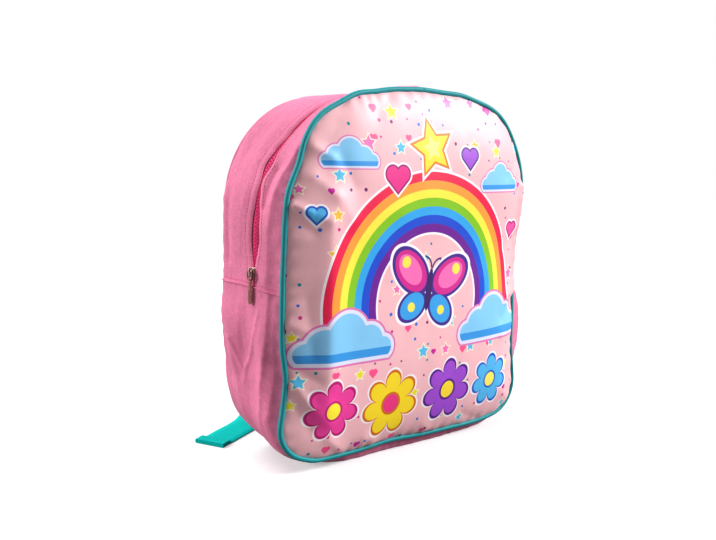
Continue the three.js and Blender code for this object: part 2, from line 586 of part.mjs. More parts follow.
// The ladder lock: three bars in a frame.
function lock(side) {
  const [half, tall] = [LOCK_WIDTH / 2, LOCK_HALF];
  const frame = new THREE.Shape();
  const cut = 3;
  const corners = [[-half + cut, -tall], [half - cut, -tall], [half, -tall + cut], [half, tall - cut],
    [half - cut, tall], [-half + cut, tall], [-half, tall - cut], [-half, -tall + cut]];
  frame.setFromPoints(corners.map(([x, z]) => new THREE.Vector2(x, z)));
  for (const low of [LOCK_BAR / 2, -LOCK_BAR / 2 - LOCK_SLOT]) {
    const inner = (WEB_WIDTH + 2) / 2;
    frame.holes.push(new THREE.Path().setFromPoints(
      [[-inner, low], [-inner, low + LOCK_SLOT], [inner, low + LOCK_SLOT], [inner, low]]
        .map(([x, z]) => new THREE.Vector2(x, z))));
  }
  const plate = new THREE.ExtrudeGeometry(frame, { depth: LOCK_THICKNESS, bevelEnabled: false });
  plate.rotateX(Math.PI / 2).translate(side * LOCK_X, LOCK_Y + LOCK_THICKNESS / 2, LOCK_Z);
  return closedCopy(plate);
}

// Distances from the lock's middle plane and bars at which the webbing passes them
const LAY = LOCK_THICKNESS / 2 + 0.4 + WEB_THICKNESS / 2;
const LOAD_LAY = LAY + WEB_THICKNESS + 0.5;
const BESIDE_BAR = LOCK_BAR / 2 + 0.4 + WEB_THICKNESS / 2;

// The fixed loop that holds the lock's top bar to the pad's end.
function lockLoop(side) {
  const barLow = LOCK_HALF - LOCK_BAR;
  const under = barLow - 0.4 - WEB_THICKNESS / 2;
  const start = PAD_END_Z - SEAM_GAP * 4 - LOCK_Z;
  const at = (lay, up) => row(side, LOCK_X, LOCK_Y + lay, LOCK_Z + up);
  return band([
    at(LAY, start), at(LAY, LOCK_HALF - 1), at(LAY, barLow + 0.6), at(LAY * 0.72, under + 0.5), at(0, under),
    at(-LAY * 0.72, under + 0.5), at(-LAY, barLow + 0.6), at(-LAY, LOCK_HALF - 1), at(-LAY, start),
  ], WEB_WIDTH, 2);
}

// The adjusting web: from the back panel's bottom corner up behind the lock, forward over its middle bar, back
// behind its lowest bar, and down to a free end that lies on the floor.
const FLOOR_HEADING = THREE.MathUtils.degToRad(27.5); // the free end's turn towards the front
const TAIL_REACH = BACK_WIDTH / 2 - 0.5; // where the free end stops, out from the middle
const TAIL_END_Y = BACK_Y + 26;
const ANCHOR_X = BACK_WIDTH / 2 - 50;
const ANCHOR_Z = BACK_FOOT + 15;
function webRoute(side) {
  const onBack = backFaceY(ANCHOR_X, ANCHOR_Z, WEB_WIDTH) + SEAM_GAP + WEB_THICKNESS / 2;
  const atLock = (lay, up, turn = 0) => row(side, LOCK_X, LOCK_Y + lay, LOCK_Z + up, turn);
  const resting = 0.2 + WEB_THICKNESS / 2;
  const floor = (back, lift, thick) => row(
    side, TAIL_REACH - back * Math.cos(FLOOR_HEADING), TAIL_END_Y + back * Math.sin(FLOOR_HEADING), lift,
    90 - THREE.MathUtils.radToDeg(FLOOR_HEADING), thick);
  const HEM = 12;
  const landing = 84; // from the free end back to where the web comes down
  return [
    row(side, ANCHOR_X + 6, onBack, ANCHOR_Z - 5),
    row(side, ANCHOR_X, onBack + 0.2, ANCHOR_Z + 6),
    row(side, ANCHOR_X - 5, onBack + 4, ANCHOR_Z + 16),
    row(side, ANCHOR_X - 14, onBack + 20, ANCHOR_Z + 30),
    row(side, LOCK_X + 2, LOCK_Y - LOAD_LAY - 9, LOCK_Z - LOCK_HALF - 22),
    atLock(-LOAD_LAY - 1, -LOCK_HALF - 6),
    atLock(-LOAD_LAY, -LOCK_HALF + LOCK_BAR / 2),
    atLock(-LOAD_LAY + 0.1, -BESIDE_BAR * 1.6),
    atLock(-LAY - 0.9, 0.3),
    atLock(-LAY * 0.75, BESIDE_BAR * 0.85),
    atLock(0, BESIDE_BAR),
    atLock(LAY * 0.75, BESIDE_BAR * 0.85),
    atLock(LAY, 0),
    atLock(LAY * 0.75, -BESIDE_BAR * 0.85),
    atLock(0, -BESIDE_BAR),
    atLock(-LAY * 0.68, -BESIDE_BAR * 1.32),
    atLock(-LAY, -BESIDE_BAR * 2.4),
    atLock(-LAY, -LOCK_HALF + LOCK_BAR / 2),
    atLock(-LAY + 0.3, -LOCK_HALF - 6, 3),
    atLock(3, -LOCK_HALF - 24, 30),
    row(side, LOCK_X - 1, TAIL_END_Y + landing * Math.sin(FLOOR_HEADING) + 4, 26, 56),
    row(side, LOCK_X + 2, TAIL_END_Y + landing * Math.sin(FLOOR_HEADING) + 2, 11, 62.5),
    floor(landing - 13, 2.6, WEB_THICKNESS),
    floor(landing - 26, resting + 0.1, WEB_THICKNESS),
    floor(landing - 48, resting, WEB_THICKNESS),
    floor(HEM + 2, resting, WEB_THICKNESS),
    floor(HEM - 1, 0.2 + HEM_THICKNESS / 2, HEM_THICKNESS),
    floor(0, 0.2 + HEM_THICKNESS / 2, HEM_THICKNESS),
  ];
}
const web = (side) => band(webRoute(side), WEB_WIDTH, 2);

// The hanging loop, bowed out from the back panel's top.
const HANDLE_Z = BACK_FOOT + BACK_HEIGHT - HANDLE_WIDTH / 2 - 9;
function handle() {
  const seat = backFaceY(0, HANDLE_Z, HANDLE_SPAN / 2) + SEAM_GAP + WEB_THICKNESS / 2;
  const place = (share, lift) => ({
    place: vec((share * HANDLE_SPAN) / 2, seat + lift * HANDLE_BOW, HANDLE_Z), turn: 0, thick: WEB_THICKNESS, upright: true,
  });
  return band([
    place(-1, 0), place(-0.7, 0.02), place(-0.5, 0.3), place(-0.26, 0.82), place(0, 1),
    place(0.26, 0.82), place(0.5, 0.3), place(0.7, 0.02), place(1, 0),
  ], HANDLE_WIDTH, 2);
}

// Finishes
const finish = (color, roughness, metalness = 0) => new THREE.MeshStandardMaterial({ color, roughness, metalness });
const PRINTED_SATIN = finish('#f2c4cc', 0.45);
const PINK_CLOTH = finish('#e88fb0', 0.8);
const TEAL_PIPING = finish('#23b3b3', 0.35);
const TEAL_WEB = finish('#12c9bd', 0.7);
const ZIP_CLOTH = finish('#cf2f6c', 0.7);
const ZIP_NYLON = finish('#b02058', 0.5);
const BRONZE = finish('#8a6a58', 0.35, 1);
const TEAL_PLASTIC = finish('#12b5aa', 0.4);

const bag = new THREE.Group();
function piece(name, geometry, material, parent = bag) {
  const mesh = new THREE.Mesh(geometry, material);
  mesh.name = name;
  parent.add(mesh);
  return mesh;
}

piece('front_panel', frontPanel(), PRINTED_SATIN);
piece('back_panel', backPanel(), PINK_CLOTH);
piece('front_piping', frontPiping(), TEAL_PIPING);
piece('lower_band', lowerBand(), PINK_CLOTH);
piece('front_zip_band', frontArch(), PINK_CLOTH);
piece('rear_zip_band', rearArch(), PINK_CLOTH);
piece('zip_coil', zipCoil(), ZIP_NYLON);
piece('zip_tape', zipTape(), ZIP_CLOTH);

// The slider's frame sits on the cloth of the left side, above the join, turned so that its X points out.
const zipEnd = new THREE.Group();
const SLIDER_AT = JOIN + SLIDER_ABOVE_JOIN / HALF_WAY;
const sliderSeat = bandAt(-SLIDER_AT, ZIP_LINE);
zipEnd.position.copy(sliderSeat);
zipEnd.rotation.z = Math.PI;
bag.add(zipEnd);
piece('zip_slider', slider(), BRONZE, zipEnd);
piece('zip_pull', pull(), BRONZE, zipEnd).position.x = PIVOT_RISE;

for (const [name, side] of [['left', -1], ['right', 1]]) {
  piece(`shoulder_pad_${name}`, pad(side), PINK_CLOTH);
  piece(`lock_loop_${name}`, lockLoop(side), TEAL_WEB);
  piece(`ladder_lock_${name}`, lock(side), TEAL_PLASTIC);
  piece(`strap_web_${name}`, web(side), TEAL_WEB);
}
piece('hanging_loop', handle(), TEAL_WEB);

export default bag;
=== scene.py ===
import json
import math

import bpy
import numpy as np
from mathutils import Matrix, Vector, noise


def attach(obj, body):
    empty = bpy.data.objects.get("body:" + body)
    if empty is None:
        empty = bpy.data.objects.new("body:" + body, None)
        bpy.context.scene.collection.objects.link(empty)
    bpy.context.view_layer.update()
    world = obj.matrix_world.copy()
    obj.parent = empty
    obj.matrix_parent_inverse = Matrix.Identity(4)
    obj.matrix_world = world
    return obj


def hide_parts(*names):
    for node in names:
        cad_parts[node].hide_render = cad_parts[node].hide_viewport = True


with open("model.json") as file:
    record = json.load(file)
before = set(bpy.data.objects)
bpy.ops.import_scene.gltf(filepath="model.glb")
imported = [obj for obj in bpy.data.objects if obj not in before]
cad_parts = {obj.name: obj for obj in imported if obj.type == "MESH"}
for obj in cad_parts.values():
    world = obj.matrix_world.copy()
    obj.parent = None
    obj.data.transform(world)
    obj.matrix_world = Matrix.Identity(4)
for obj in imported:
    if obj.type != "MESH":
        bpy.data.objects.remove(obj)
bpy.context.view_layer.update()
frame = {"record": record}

# A child's soft backpack on a pale studio floor. Shapes are worked out in millimetres in the part's own
# frame, X to the right as seen from the front, the front towards -Y and Z up. Each piece is made in metres.
MM = 0.001

# The bag, as in the part's source
DEPTH = 80
JOIN_HEIGHT = 155
FRONT_WIDTH, FRONT_HEIGHT, FRONT_FOOT = 280, 310, 10
BACK_WIDTH, BACK_HEIGHT, BACK_FOOT = 293, 309, 4
BACK_TOP = BACK_FOOT + BACK_HEIGHT
PIPING_RADIUS = 2.3
FRONT_PUFF = 21
BACK_PUFF = 5
CLOTH = 1.0  # the solids' walls are 1.5
MIDDLE = np.array((0, 0, JOIN_HEIGHT))


class Seam:
    """An outline that cloth is sewn along: a rounded rectangle with a few soft dents in it."""

    def __init__(self, width, height, foot, top_radius, bottom_radius, y, dents):
        self.width, self.height, self.foot, self.y, self.dents = width, height, foot, y, dents
        self.top_radius, self.bottom_radius = top_radius, bottom_radius

    def legs(self):
        """Half the way round, from the bottom's middle to the top's, in six legs."""
        quarter = math.pi / 2
        return [
            self.width / 2 - self.bottom_radius,
            quarter * self.bottom_radius,
            JOIN_HEIGHT - self.foot - self.bottom_radius,
            self.foot + self.height - self.top_radius - JOIN_HEIGHT,
            quarter * self.top_radius,
            self.width / 2 - self.top_radius,
        ]

    def at(self, share):
        """The place and the outward direction at a share of half the way round, negative on the left."""
        way, side = abs(share), -1 if share < 0 else 1
        leg = next((i for i, end in enumerate(LEG_ENDS) if way <= end + 1e-9), 5)
        start = LEG_ENDS[leg - 1] if leg else 0
        along = min(1, max(0, (way - start) / (LEG_ENDS[leg] - start)))
        half, top = self.width / 2, self.foot + self.height
        low, high = self.foot + self.bottom_radius, top - self.top_radius

        def around(radius, z, degrees):
            nx, nz = math.cos(math.radians(degrees)), math.sin(math.radians(degrees))
            return half - radius + radius * nx, z + radius * nz, nx, nz

        x, z, nx, nz = (
            lambda: (along * (half - self.bottom_radius), self.foot, 0, -1),
            lambda: around(self.bottom_radius, low, -90 + 90 * along),
            lambda: (half, low + along * (JOIN_HEIGHT - low), 1, 0),
            lambda: (half, JOIN_HEIGHT + along * (high - JOIN_HEIGHT), 1, 0),
            lambda: around(self.top_radius, high, 90 * along),
            lambda: ((1 - along) * (half - self.top_radius), top, 0, 1),
        )[leg]()
        out = back = 0
        for where, span, outwards, backwards in self.dents:
            away = abs(share - where)
            swell = math.exp(-((min(away, 2 - away) / span) ** 2)) * DEPTH
            out += outwards * swell
            back += backwards * swell
        outward = np.array((side * nx, 0, nz))
        return np.array((side * x, self.y + back, z)) + outward * out, outward


# where, span, outwards, backwards
FRONT_DENTS = [
    (-0.9, 0.03, -0.032, 0), (-0.83, 0.035, -0.021, 0), (-0.787, 0.03, 0.014, 0),
    (-0.702, 0.036, -0.062, 0), (-0.65, 0.04, -0.015, 0), (-0.51, 0.05, 0.011, 0), (-0.44, 0.04, 0.007, 0),
    (-0.375, 0.035, -0.044, 0), (-0.33, 0.03, -0.012, 0), (-0.29, 0.026, 0.016, 0),
    (-0.22, 0.024, -0.022, 0), (-0.04, 0.05, -0.029, 0), (0.14, 0.035, 0.006, 0), (0.21, 0.03, -0.023, 0),
    (0.36, 0.05, -0.045, 0), (0.42, 0.07, -0.042, 0.012), (0.53, 0.085, -0.05, 0.07),
    (0.66, 0.05, -0.013, 0), (0.8, 0.045, 0.03, 0), (0.875, 0.035, -0.016, 0), (1, 0.04, 0.017, 0),
]
BACK_DENTS = [(-0.32, 0.08, -0.03, 0), (0.46, 0.12, -0.03, 0)]
FRONT_SEAM = Seam(FRONT_WIDTH, FRONT_HEIGHT, FRONT_FOOT, 99, 36, -DEPTH / 2, FRONT_DENTS)
BACK_SEAM = Seam(BACK_WIDTH, BACK_HEIGHT, BACK_FOOT, 92, 80, DEPTH / 2, BACK_DENTS)
HALF_WAY = sum(FRONT_SEAM.legs())
LEG_ENDS = list(np.cumsum(FRONT_SEAM.legs()) / HALF_WAY)
FLAT_END, CORNER_END, JOIN, SIDE_END, TOP_CORNER_END, _ = LEG_ENDS

# How far the side band stands out, as shares of DEPTH, at places across it from front to back
BAND_PLACES = np.array((0, 0.07, 0.2, 0.36, 0.475, 0.6, 0.78, 0.93, 1))
BAND_SECTIONS = [
    (-1, (0, 0.05, 0.06, 0.045, 0.035, 0.035, 0.03, 0.02, 0)),
    (-0.85, (0, 0, -0.015, -0.03, -0.015, 0, 0.02, 0.015, 0)),
    (-0.76, (0, -0.005, -0.035, -0.055, -0.035, 0, 0.03, 0.03, 0)),
    (-0.7, (0, 0.025, 0.05, 0.058, 0.05, 0.055, 0.055, 0.04, 0)),
    (-0.64, (0, 0.03, 0.06, 0.08, 0.078, 0.09, 0.1, 0.07, 0)),
    (-0.506, (0, 0.015, 0.075, 0.09, 0.085, 0.09, 0.1, 0.065, 0)),
    (-0.38, (0, 0.03, 0.13, 0.1, 0.095, 0.12, 0.13, 0.09, 0)),
    (-0.29, (0, 0.05, 0.09, 0.07, 0.06, 0.07, 0.07, 0.05, 0)),
    (-0.2, (0, 0.06, 0.075, 0.06, 0.04, 0.04, 0.04, 0.03, 0)),
    (-0.12, (0, 0.12, 0.16, 0.19, 0.19, 0.19, 0.16, 0.08, 0)),
    (0.12, (0, 0.12, 0.16, 0.19, 0.19, 0.19, 0.16, 0.08, 0)),
    (0.25, (0, 0.08, 0.16, 0.17, 0.16, 0.14, 0.12, 0.07, 0)),
    (0.3, (0, 0.08, 0.15, 0.16, 0.15, 0.14, 0.12, 0.07, 0)),
    (0.37, (0, 0.21, 0.27, 0.25, 0.23, 0.2, 0.16, 0.1, 0)),
    (0.43, (0, 0.2, 0.265, 0.24, 0.21, 0.18, 0.15, 0.1, 0)),
    (0.506, (0, 0.05, 0.12, 0.14, 0.14, 0.14, 0.14, 0.09, 0)),
    (0.64, (0, 0.03, 0.08, 0.1, 0.1, 0.11, 0.12, 0.08, 0)),
    (0.76, (0, 0, -0.02, -0.035, -0.02, 0.01, 0.05, 0.04, 0)),
    (0.86, (0, 0, -0.01, -0.02, -0.01, 0.02, 0.04, 0.03, 0)),
    (1, (0, 0.05, 0.06, 0.045, 0.035, 0.035, 0.03, 0.02, 0)),
]

# The zip
ZIP_Y = -10.06
ZIP_MOUTH = 9
# How open it gapes, as a share of ZIP_MOUTH, at shares of its way over the top from right to left
ZIP_OPENNESS = [
    (0, 0.45), (0.08, 0.6), (0.2, 0.45), (0.34, 0.3), (0.5, 0.26), (0.66, 0.24), (0.72, 0.38), (0.75, 0.24),
    (0.778, 0.62), (0.803, 1.05), (0.836, 0.22), (0.86, 0.5), (0.895, 0.95), (0.925, 1.1), (0.942, 0.8),
    (0.958, 0.42), (0.966, 0.24), (0.99, 0.2), (1, 0.16),
]

# Folds of the side band, worked out from the photograph on the left and made alike on the right. A row is
# way 1, y 1, way 2, y 2, half width, height: the way is in millimetres from the bottom's middle, negative on
# the left, and y is from front to back.
BAND_FOLDS = [
    (-268, -27, -228, -27, 2.4, 1.1), (-228, -27, -205, -23.5, 2, 1.2), (-205, -23.5, -182, -21.5, 2, 1.2),
    (-182, -21.5, -150, -22, 2.2, 1.1), (-262, -33, -205, -31, 4.5, 1.3), (-205, -31, -160, -30, 5, 1.8),
    (-262, -20, -205, -19, 6, -0.7), (-250, -19, -228, -14, 2, 0.9), (-228, -14, -187, 1, 2, 1.4),
    (-187, 1, -170, 3, 2.6, 1), (-210, 18, -186, 6, 2.2, 1.3), (-222, 4, -203, 3, 4.5, -0.7),
    (-279, -25, -318, -25, 4, 1.2), (-318, -25, -338, -27, 4, 1.5), (-338, -27, -366, -31, 4, 1.9),
    (-366, -31, -386, -35, 3.6, 1.7), (-368, -22.5, -336, -18.5, 4.2, -2.4), (-360, 2, -300, 8, 6.5, 1),
    (-388, 34, -345, 25, 4.5, -1.6), (-345, 25, -290, 23, 4.5, -1.6), (-190, 16, -150, 8, 7, 1.4),
    (-240, 24, -180, 16, 7, 1.2), (-215, 30, -165, 20, 5, -1.2), (-420, 14, -380, 18, 8, -1.1),
    (-450, -22, -420, -26, 5, 1), (-135, -10, -110, 12, 8, 1), (262, -18, 205, -14, 6, 2),
    (200, -12, 165, -20, 6, 1.6), (250, 4, 190, 14, 5, -1.6), (240, 22, 170, 18, 7, 1.3),
    (330, -22, 280, -26, 5, 1.8), (370, 10, 300, 20, 7, 1.2), (350, 24, 285, 28, 6, -1.3),
    (430, -20, 390, -12, 6, 1.1),
]

# Creases of the front panel: x 1, z 1, x 2, z 2, half width, height
PANEL_CREASES = [
    (-138, 226, -122, 219, 3.6, 2.3), (-122, 219, -106, 212, 5, 1.2), (-137, 214, -120, 204, 5, -1.1),
    (-104, 60, -106, 214, 17, 4.4), (-134, 232, -114, 240, 7, -0.8), (-112, 262, -96, 288, 9, -0.6),
    (-118, 246, -100, 232, 6.5, 1.6), (-116, 270, -102, 262, 5.5, 1.8), (-100, 232, -86, 214, 8, 1.1),
    (-94, 262, -84, 240, 7, -1), (-134, 84, -116, 60, 4.6, 1.6), (-116, 60, -100, 44, 6, 1.3),
    (-134, 96, -112, 82, 5, -1.1), (-112, 82, -92, 62, 7, -0.6), (-132, 66, -118, 42, 5, -0.9),
    (-138, 130, -122, 124, 6, 1.2), (-124, 150, -118, 104, 8, -1.2), (-98, 30, -84, 18, 5, 1.2),
    (-60, 24, -40, 14, 6, 1), (10, 22, 24, 13, 6, 0.9), (60, 24, 84, 14, 6, -1), (118, 36, 132, 22, 6, 1),
    (132, 238, 131, 160, 5, 3.2), (131, 160, 130, 136, 4.6, 2.7), (134, 140, 112, 132, 6, 1.6),
    (134, 128, 108, 112, 7, -1.8), (132, 104, 108, 96, 6, 1.4), (128, 190, 108, 180, 8, -1.2),
    (120, 262, 104, 248, 8, -1), (60, 306, 40, 296, 8, -0.9), (-40, 312, -56, 298, 7, -0.9),
]

# The form of a fold from side to side: 1 is a bell, and less is a narrower crest on a wider foot
FOLD_SHARPNESS = 0.72

# The small puckers beside a seam: how many there are all round the bag, how high they are, how far they reach
# into the cloth, and the width of the hem in which they start
GATHERS = 71
GATHER_HEIGHT = 0.55
GATHER_REACH = 5.5
GATHER_HEM = 1.2

# The bands' cross seams rise by this much from the piping to the zip, and draw the cloth along this far
JOIN_RISE = 4.4
JOIN_REACH = 22

BAND_SEED = 11.5


def smooth(x):
    x = np.clip(x, 0, 1)
    return x * x * (3 - 2 * x)


def unit(rows):
    """Directions, each made one long."""
    return rows / np.maximum(np.linalg.norm(rows, axis=-1, keepdims=True), 1e-9)


def square_to(tangents, rows):
    """Directions turned until they are square to a line's own."""
    return unit(rows - tangents * (rows * tangents).sum(axis=1, keepdims=True))


def length_along(points):
    """How far along a line each of its points lies."""
    return np.concatenate(([0], np.cumsum(np.linalg.norm(np.diff(points, axis=0), axis=1))))


def rows_at(places, way, rows):
    """The rows of a table at places between its own, which are at the given distances along the way."""
    return np.stack([np.interp(places, way, rows[:, k]) for k in range(3)], axis=1)


def through(xs, ys, x):
    """The value at x of a smooth curve through points, whose ys may be rows."""
    xs, ys, x = np.asarray(xs, float), np.asarray(ys, float), np.asarray(x, float)
    slopes = np.gradient(ys, xs, axis=0)
    i = np.clip(np.searchsorted(xs, x) - 1, 0, len(xs) - 2)
    width = xs[i + 1] - xs[i]
    t = np.clip((x - xs[i]) / width, 0, 1)
    if ys.ndim > 1:
        t, width = t[..., None], width[..., None]
    near = (2 * t**3 - 3 * t**2 + 1) * ys[i] + (t**3 - 2 * t**2 + t) * width * slopes[i]
    return near + (3 * t**2 - 2 * t**3) * ys[i + 1] + (t**3 - t**2) * width * slopes[i + 1]


def relief(folds, u, v):
    """How high a cloth lies at places on it, from a table of folds. A row that starts where the last one ended
    carries its fold on."""
    height, fold, end = np.zeros_like(u), np.zeros_like(u), None
    for u1, v1, u2, v2, half_width, high in folds:
        along = ((u - u1) * (u2 - u1) + (v - v1) * (v2 - v1)) / ((u2 - u1) ** 2 + (v2 - v1) ** 2)
        along = np.clip(along, 0, 1)
        gap = (u - u1 - along * (u2 - u1)) ** 2 + (v - v1 - along * (v2 - v1)) ** 2
        own = high * np.exp(-((gap / half_width**2) ** FOLD_SHARPNESS))
        if end == (u1, v1):
            fold = np.where(np.abs(own) > np.abs(fold), own, fold)
        else:
            height, fold = height + fold, own
        end = (u2, v2)
    return height + fold


def ripple(u, v, stretch_u, stretch_v, seed):
    """Soft unevenness between -1 and 1, the same each run."""
    wave = [noise.noise(Vector((a / stretch_u, b / stretch_v, seed))) for a, b in zip(u.ravel(), v.ravel())]
    return np.array(wave).reshape(u.shape)


def ripple_round(way, y, stretch_way, stretch_y, seed):
    """The same on the band, where it meets itself again over the top."""
    radius, turn = HALF_WAY / math.pi / stretch_way, way.ravel() * math.pi / HALF_WAY
    places = zip(radius * np.cos(turn), radius * np.sin(turn), y.ravel() / stretch_y + seed)
    return np.array([noise.noise(Vector(place)) for place in places]).reshape(way.shape)


def gathers(way, away, seed):
    """How high the puckers beside a seam stand: away is the distance from the seam."""
    phase = ripple_round(way, way * 0, 34, 1, seed) * 5
    wave = GATHER_HEIGHT * np.sin(way * GATHERS * math.pi / HALF_WAY + phase)
    return wave * np.exp(-away / GATHER_REACH) * (1 - np.exp(-away / GATHER_HEM))


def outward_normals(points):
    normals = unit(np.cross(np.gradient(points, axis=0), np.gradient(points, axis=1)))
    return normals * (1 if (normals * (points - MIDDLE)).sum() > 0 else -1)


# Places on the cloth
BAND_START = 1.0  # behind the front seam, inside the piping
BAND_END = 0.8  # before the back seam
BAND_ACROSS = DEPTH - BAND_START - BAND_END
ZIP_LINE = (ZIP_Y + DEPTH / 2 - BAND_START) / BAND_ACROSS
OUT_ROWS = np.array([row for _, row in BAND_SECTIONS]) * DEPTH
OUT_AT = [at for at, _ in BAND_SECTIONS]


def band_points(ats, across):
    """Places on the side band: across has a row for each of ats."""
    points = np.zeros(across.shape + (3,))
    for i, at in enumerate(ats):
        (front, out_front), (back, out_back) = FRONT_SEAM.at(at), BACK_SEAM.at(at)
        front = front - out_front * PIPING_RADIUS / 4
        front[1] += BAND_START
        back = back.copy()
        back[1] -= BAND_END
        share = across[i][:, None]
        outward = unit(out_front * (1 - share) + out_back * share)
        out = through(BAND_PLACES, through(OUT_AT, OUT_ROWS, at), across[i])[:, None]
        points[i] = front * (1 - share) + back * share + outward * out
    return points


def folded_band(ats, across):
    """The same with the cloth's folds, and flat where the bag stands on it."""
    points = band_points(ats, across)
    way = np.repeat(np.array(ats)[:, None] * HALF_WAY, across.shape[1], axis=1)
    y = points[:, :, 1]
    height = relief(BAND_FOLDS, way, y)
    height += 0.9 * ripple_round(way, y, 52, 17, BAND_SEED) + 0.35 * ripple_round(way, y, 16, 9, BAND_SEED + 3)
    height *= smooth(np.minimum(across, 1 - across) * BAND_ACROSS / 4)
    height += gathers(way, across * BAND_ACROSS, BAND_SEED + 7)
    height += gathers(way, (1 - across) * BAND_ACROSS, BAND_SEED + 9)
    points += outward_normals(points) * height[..., None]
    by_join = np.abs(np.abs(way) / HALF_WAY - JOIN) < 0.2
    drawn = np.exp(-(((points[..., 2] - JOIN_HEIGHT) / JOIN_REACH) ** 2)) * by_join
    points[:, :, 2] += JOIN_RISE * (smooth(across / 0.4) - 0.5) * drawn
    points[:, :, 2] = np.maximum(points[:, :, 2], 0)
    return points


LOW_CORNER = (FLAT_END + CORNER_END) / 2
HIGH_CORNER = (SIDE_END + TOP_CORNER_END) / 2


def rim(seam, inset, at):
    place, outward = seam.at(at)
    return place - outward * inset


def panel_points(seam, inset, columns, rows):
    """Places on the sheet that fills a seam, as a grid from its left bottom corner."""
    across, up = np.linspace(0, 1, columns + 1), np.linspace(0, 1, rows + 1)
    low = np.array([rim(seam, inset, LOW_CORNER * (2 * a - 1)) for a in across])
    over = [math.copysign(1 - (1 - HIGH_CORNER) * abs(2 * a - 1), a - 0.5 or 1) for a in across]
    high = np.array([rim(seam, inset, at) for at in over])
    sides = [LOW_CORNER + (HIGH_CORNER - LOW_CORNER) * b for b in up]
    left = np.array([rim(seam, inset, -at) for at in sides])
    right = np.array([rim(seam, inset, at) for at in sides])
    a, b = across[:, None, None], up[None, :, None]
    points = low[:, None] * (1 - b) + high[:, None] * b + left[None] * (1 - a) + right[None] * a
    points -= (left[0] * (1 - a) + right[0] * a) * (1 - b) + (left[-1] * (1 - a) + right[-1] * a) * b
    return points, a[..., 0] + 0 * b[..., 0], b[..., 0] + 0 * a[..., 0]


def rounded(share):
    """How far a stuffed panel puffs out, from 0 at its edges to 1 in its middle."""
    return np.clip(1 - np.abs(2 * share - 1) ** 3, 0, 1) ** 0.72


def in_from_edge(across, up, width, height):
    """Roughly how far in from a panel's edge its places lie."""
    return np.minimum(np.minimum(across, 1 - across) * width, np.minimum(up, 1 - up) * height)


# Making pieces
def deselect():
    bpy.ops.object.select_all(action="DESELECT")


def take(piece):
    deselect()
    piece.select_set(True)
    bpy.context.view_layer.objects.active = piece
    return piece


def named(name):
    piece = bpy.context.object
    piece.name = piece.data.name = name
    return piece


def settle(piece):
    """Puts a piece's place, turn and size into its mesh."""
    take(piece)
    bpy.ops.object.transform_apply(location=True, rotation=True, scale=True)
    return piece


def finish_with(piece, kind, **settings):
    """Adds a modifier with its settings and applies it."""
    take(piece)
    bpy.ops.object.modifier_add(type=kind)
    modifier = piece.modifiers[-1]
    for key, value in settings.items():
        setattr(modifier, key, value)
    bpy.ops.object.modifier_apply(modifier=modifier.name)
    return piece


def edit_all(piece, operator, **settings):
    """Works on the whole of a piece with one of edit mode's operators."""
    take(piece)
    bpy.ops.object.mode_set(mode="EDIT")
    bpy.ops.mesh.select_all(action="SELECT")
    operator(**settings)
    bpy.ops.object.mode_set(mode="OBJECT")


def soften(piece, degrees=40):
    take(piece)
    bpy.ops.object.shade_smooth_by_angle(angle=math.radians(degrees))
    return piece


def wear(piece, material, body="bag", node=None):
    """Gives a piece its finish and its body, and hides the CAD nodes that it stands for."""
    piece.data.materials.clear()
    piece.data.materials.append(material)
    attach(piece, body)
    if node:
        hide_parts(*([node] if isinstance(node, str) else node))
    return piece


def set_uv(piece, uv):
    layer = piece.data.uv_layers.active or piece.data.uv_layers.new(name="cloth")
    corners = np.zeros(len(piece.data.loops), int)
    piece.data.loops.foreach_get("vertex_index", corners)
    layer.data.foreach_set("uv", np.asarray(uv, np.float32)[corners].ravel())


def strip_uv(way, across):
    """Flat coordinates of a tube or strip, whose rings are at distances along it."""
    return np.stack(np.meshgrid(way, across, indexing="ij"), axis=2).reshape(-1, 2) * MM


def laid_cloth(name, points, uv, wall):
    """A grid that is laid over points, in millimetres, and given a wall inwards."""
    columns, rows = points.shape[0] - 1, points.shape[1] - 1
    deselect()
    bpy.ops.mesh.primitive_grid_add(x_subdivisions=columns, y_subdivisions=rows, size=1)
    piece = named(name)
    flat = np.zeros(len(piece.data.vertices) * 3)
    piece.data.vertices.foreach_get("co", flat)
    flat = flat.reshape(-1, 3) + 0.5
    i = np.rint(flat[:, 0] * columns).astype(int)
    j = np.rint(flat[:, 1] * rows).astype(int)
    piece.data.vertices.foreach_set("co", (points[i, j] * MM).ravel())
    set_uv(piece, uv[i, j])
    piece.data.update()
    normals = np.cross(np.gradient(points, axis=0), np.gradient(points, axis=1))
    if (normals * (points - MIDDLE)).sum() < 0:
        edit_all(piece, bpy.ops.mesh.flip_normals)
    finish_with(piece, "SOLIDIFY", thickness=wall * MM, offset=-1)
    return soften(piece, 60)


def swept(name, points, normals, section, looped):
    """A tube or strip along points: section has a ring for each, as places across and along the normal."""
    count, around = len(points), section.shape[1]
    tangents = np.gradient(points, axis=0)
    if looped:
        tangents = np.roll(points, -1, axis=0) - np.roll(points, 1, axis=0)
    tangents = unit(tangents)
    normals = square_to(tangents, normals)
    sides = np.cross(tangents, normals)
    rings = points[:, None] + sides[:, None] * section[:, :, :1] + normals[:, None] * section[:, :, 1:]
    faces = []
    for i in range(count if looped else count - 1):
        for j in range(around):
            here, there, other = i * around, (i + 1) % count * around, (j + 1) % around
            faces.append((here + j, here + other, there + other, there + j))
    if not looped:
        faces += [tuple(range(around))[::-1], tuple((count - 1) * around + j for j in range(around))]
    mesh = bpy.data.meshes.new(name)
    mesh.from_pydata((rings.reshape(-1, 3) * MM).tolist(), [], faces)
    piece = bpy.data.objects.new(name, mesh)
    bpy.context.scene.collection.objects.link(piece)
    set_uv(piece, strip_uv(length_along(points), np.arange(around)))
    edit_all(piece, bpy.ops.mesh.normals_make_consistent, inside=False)
    return soften(piece, 50)


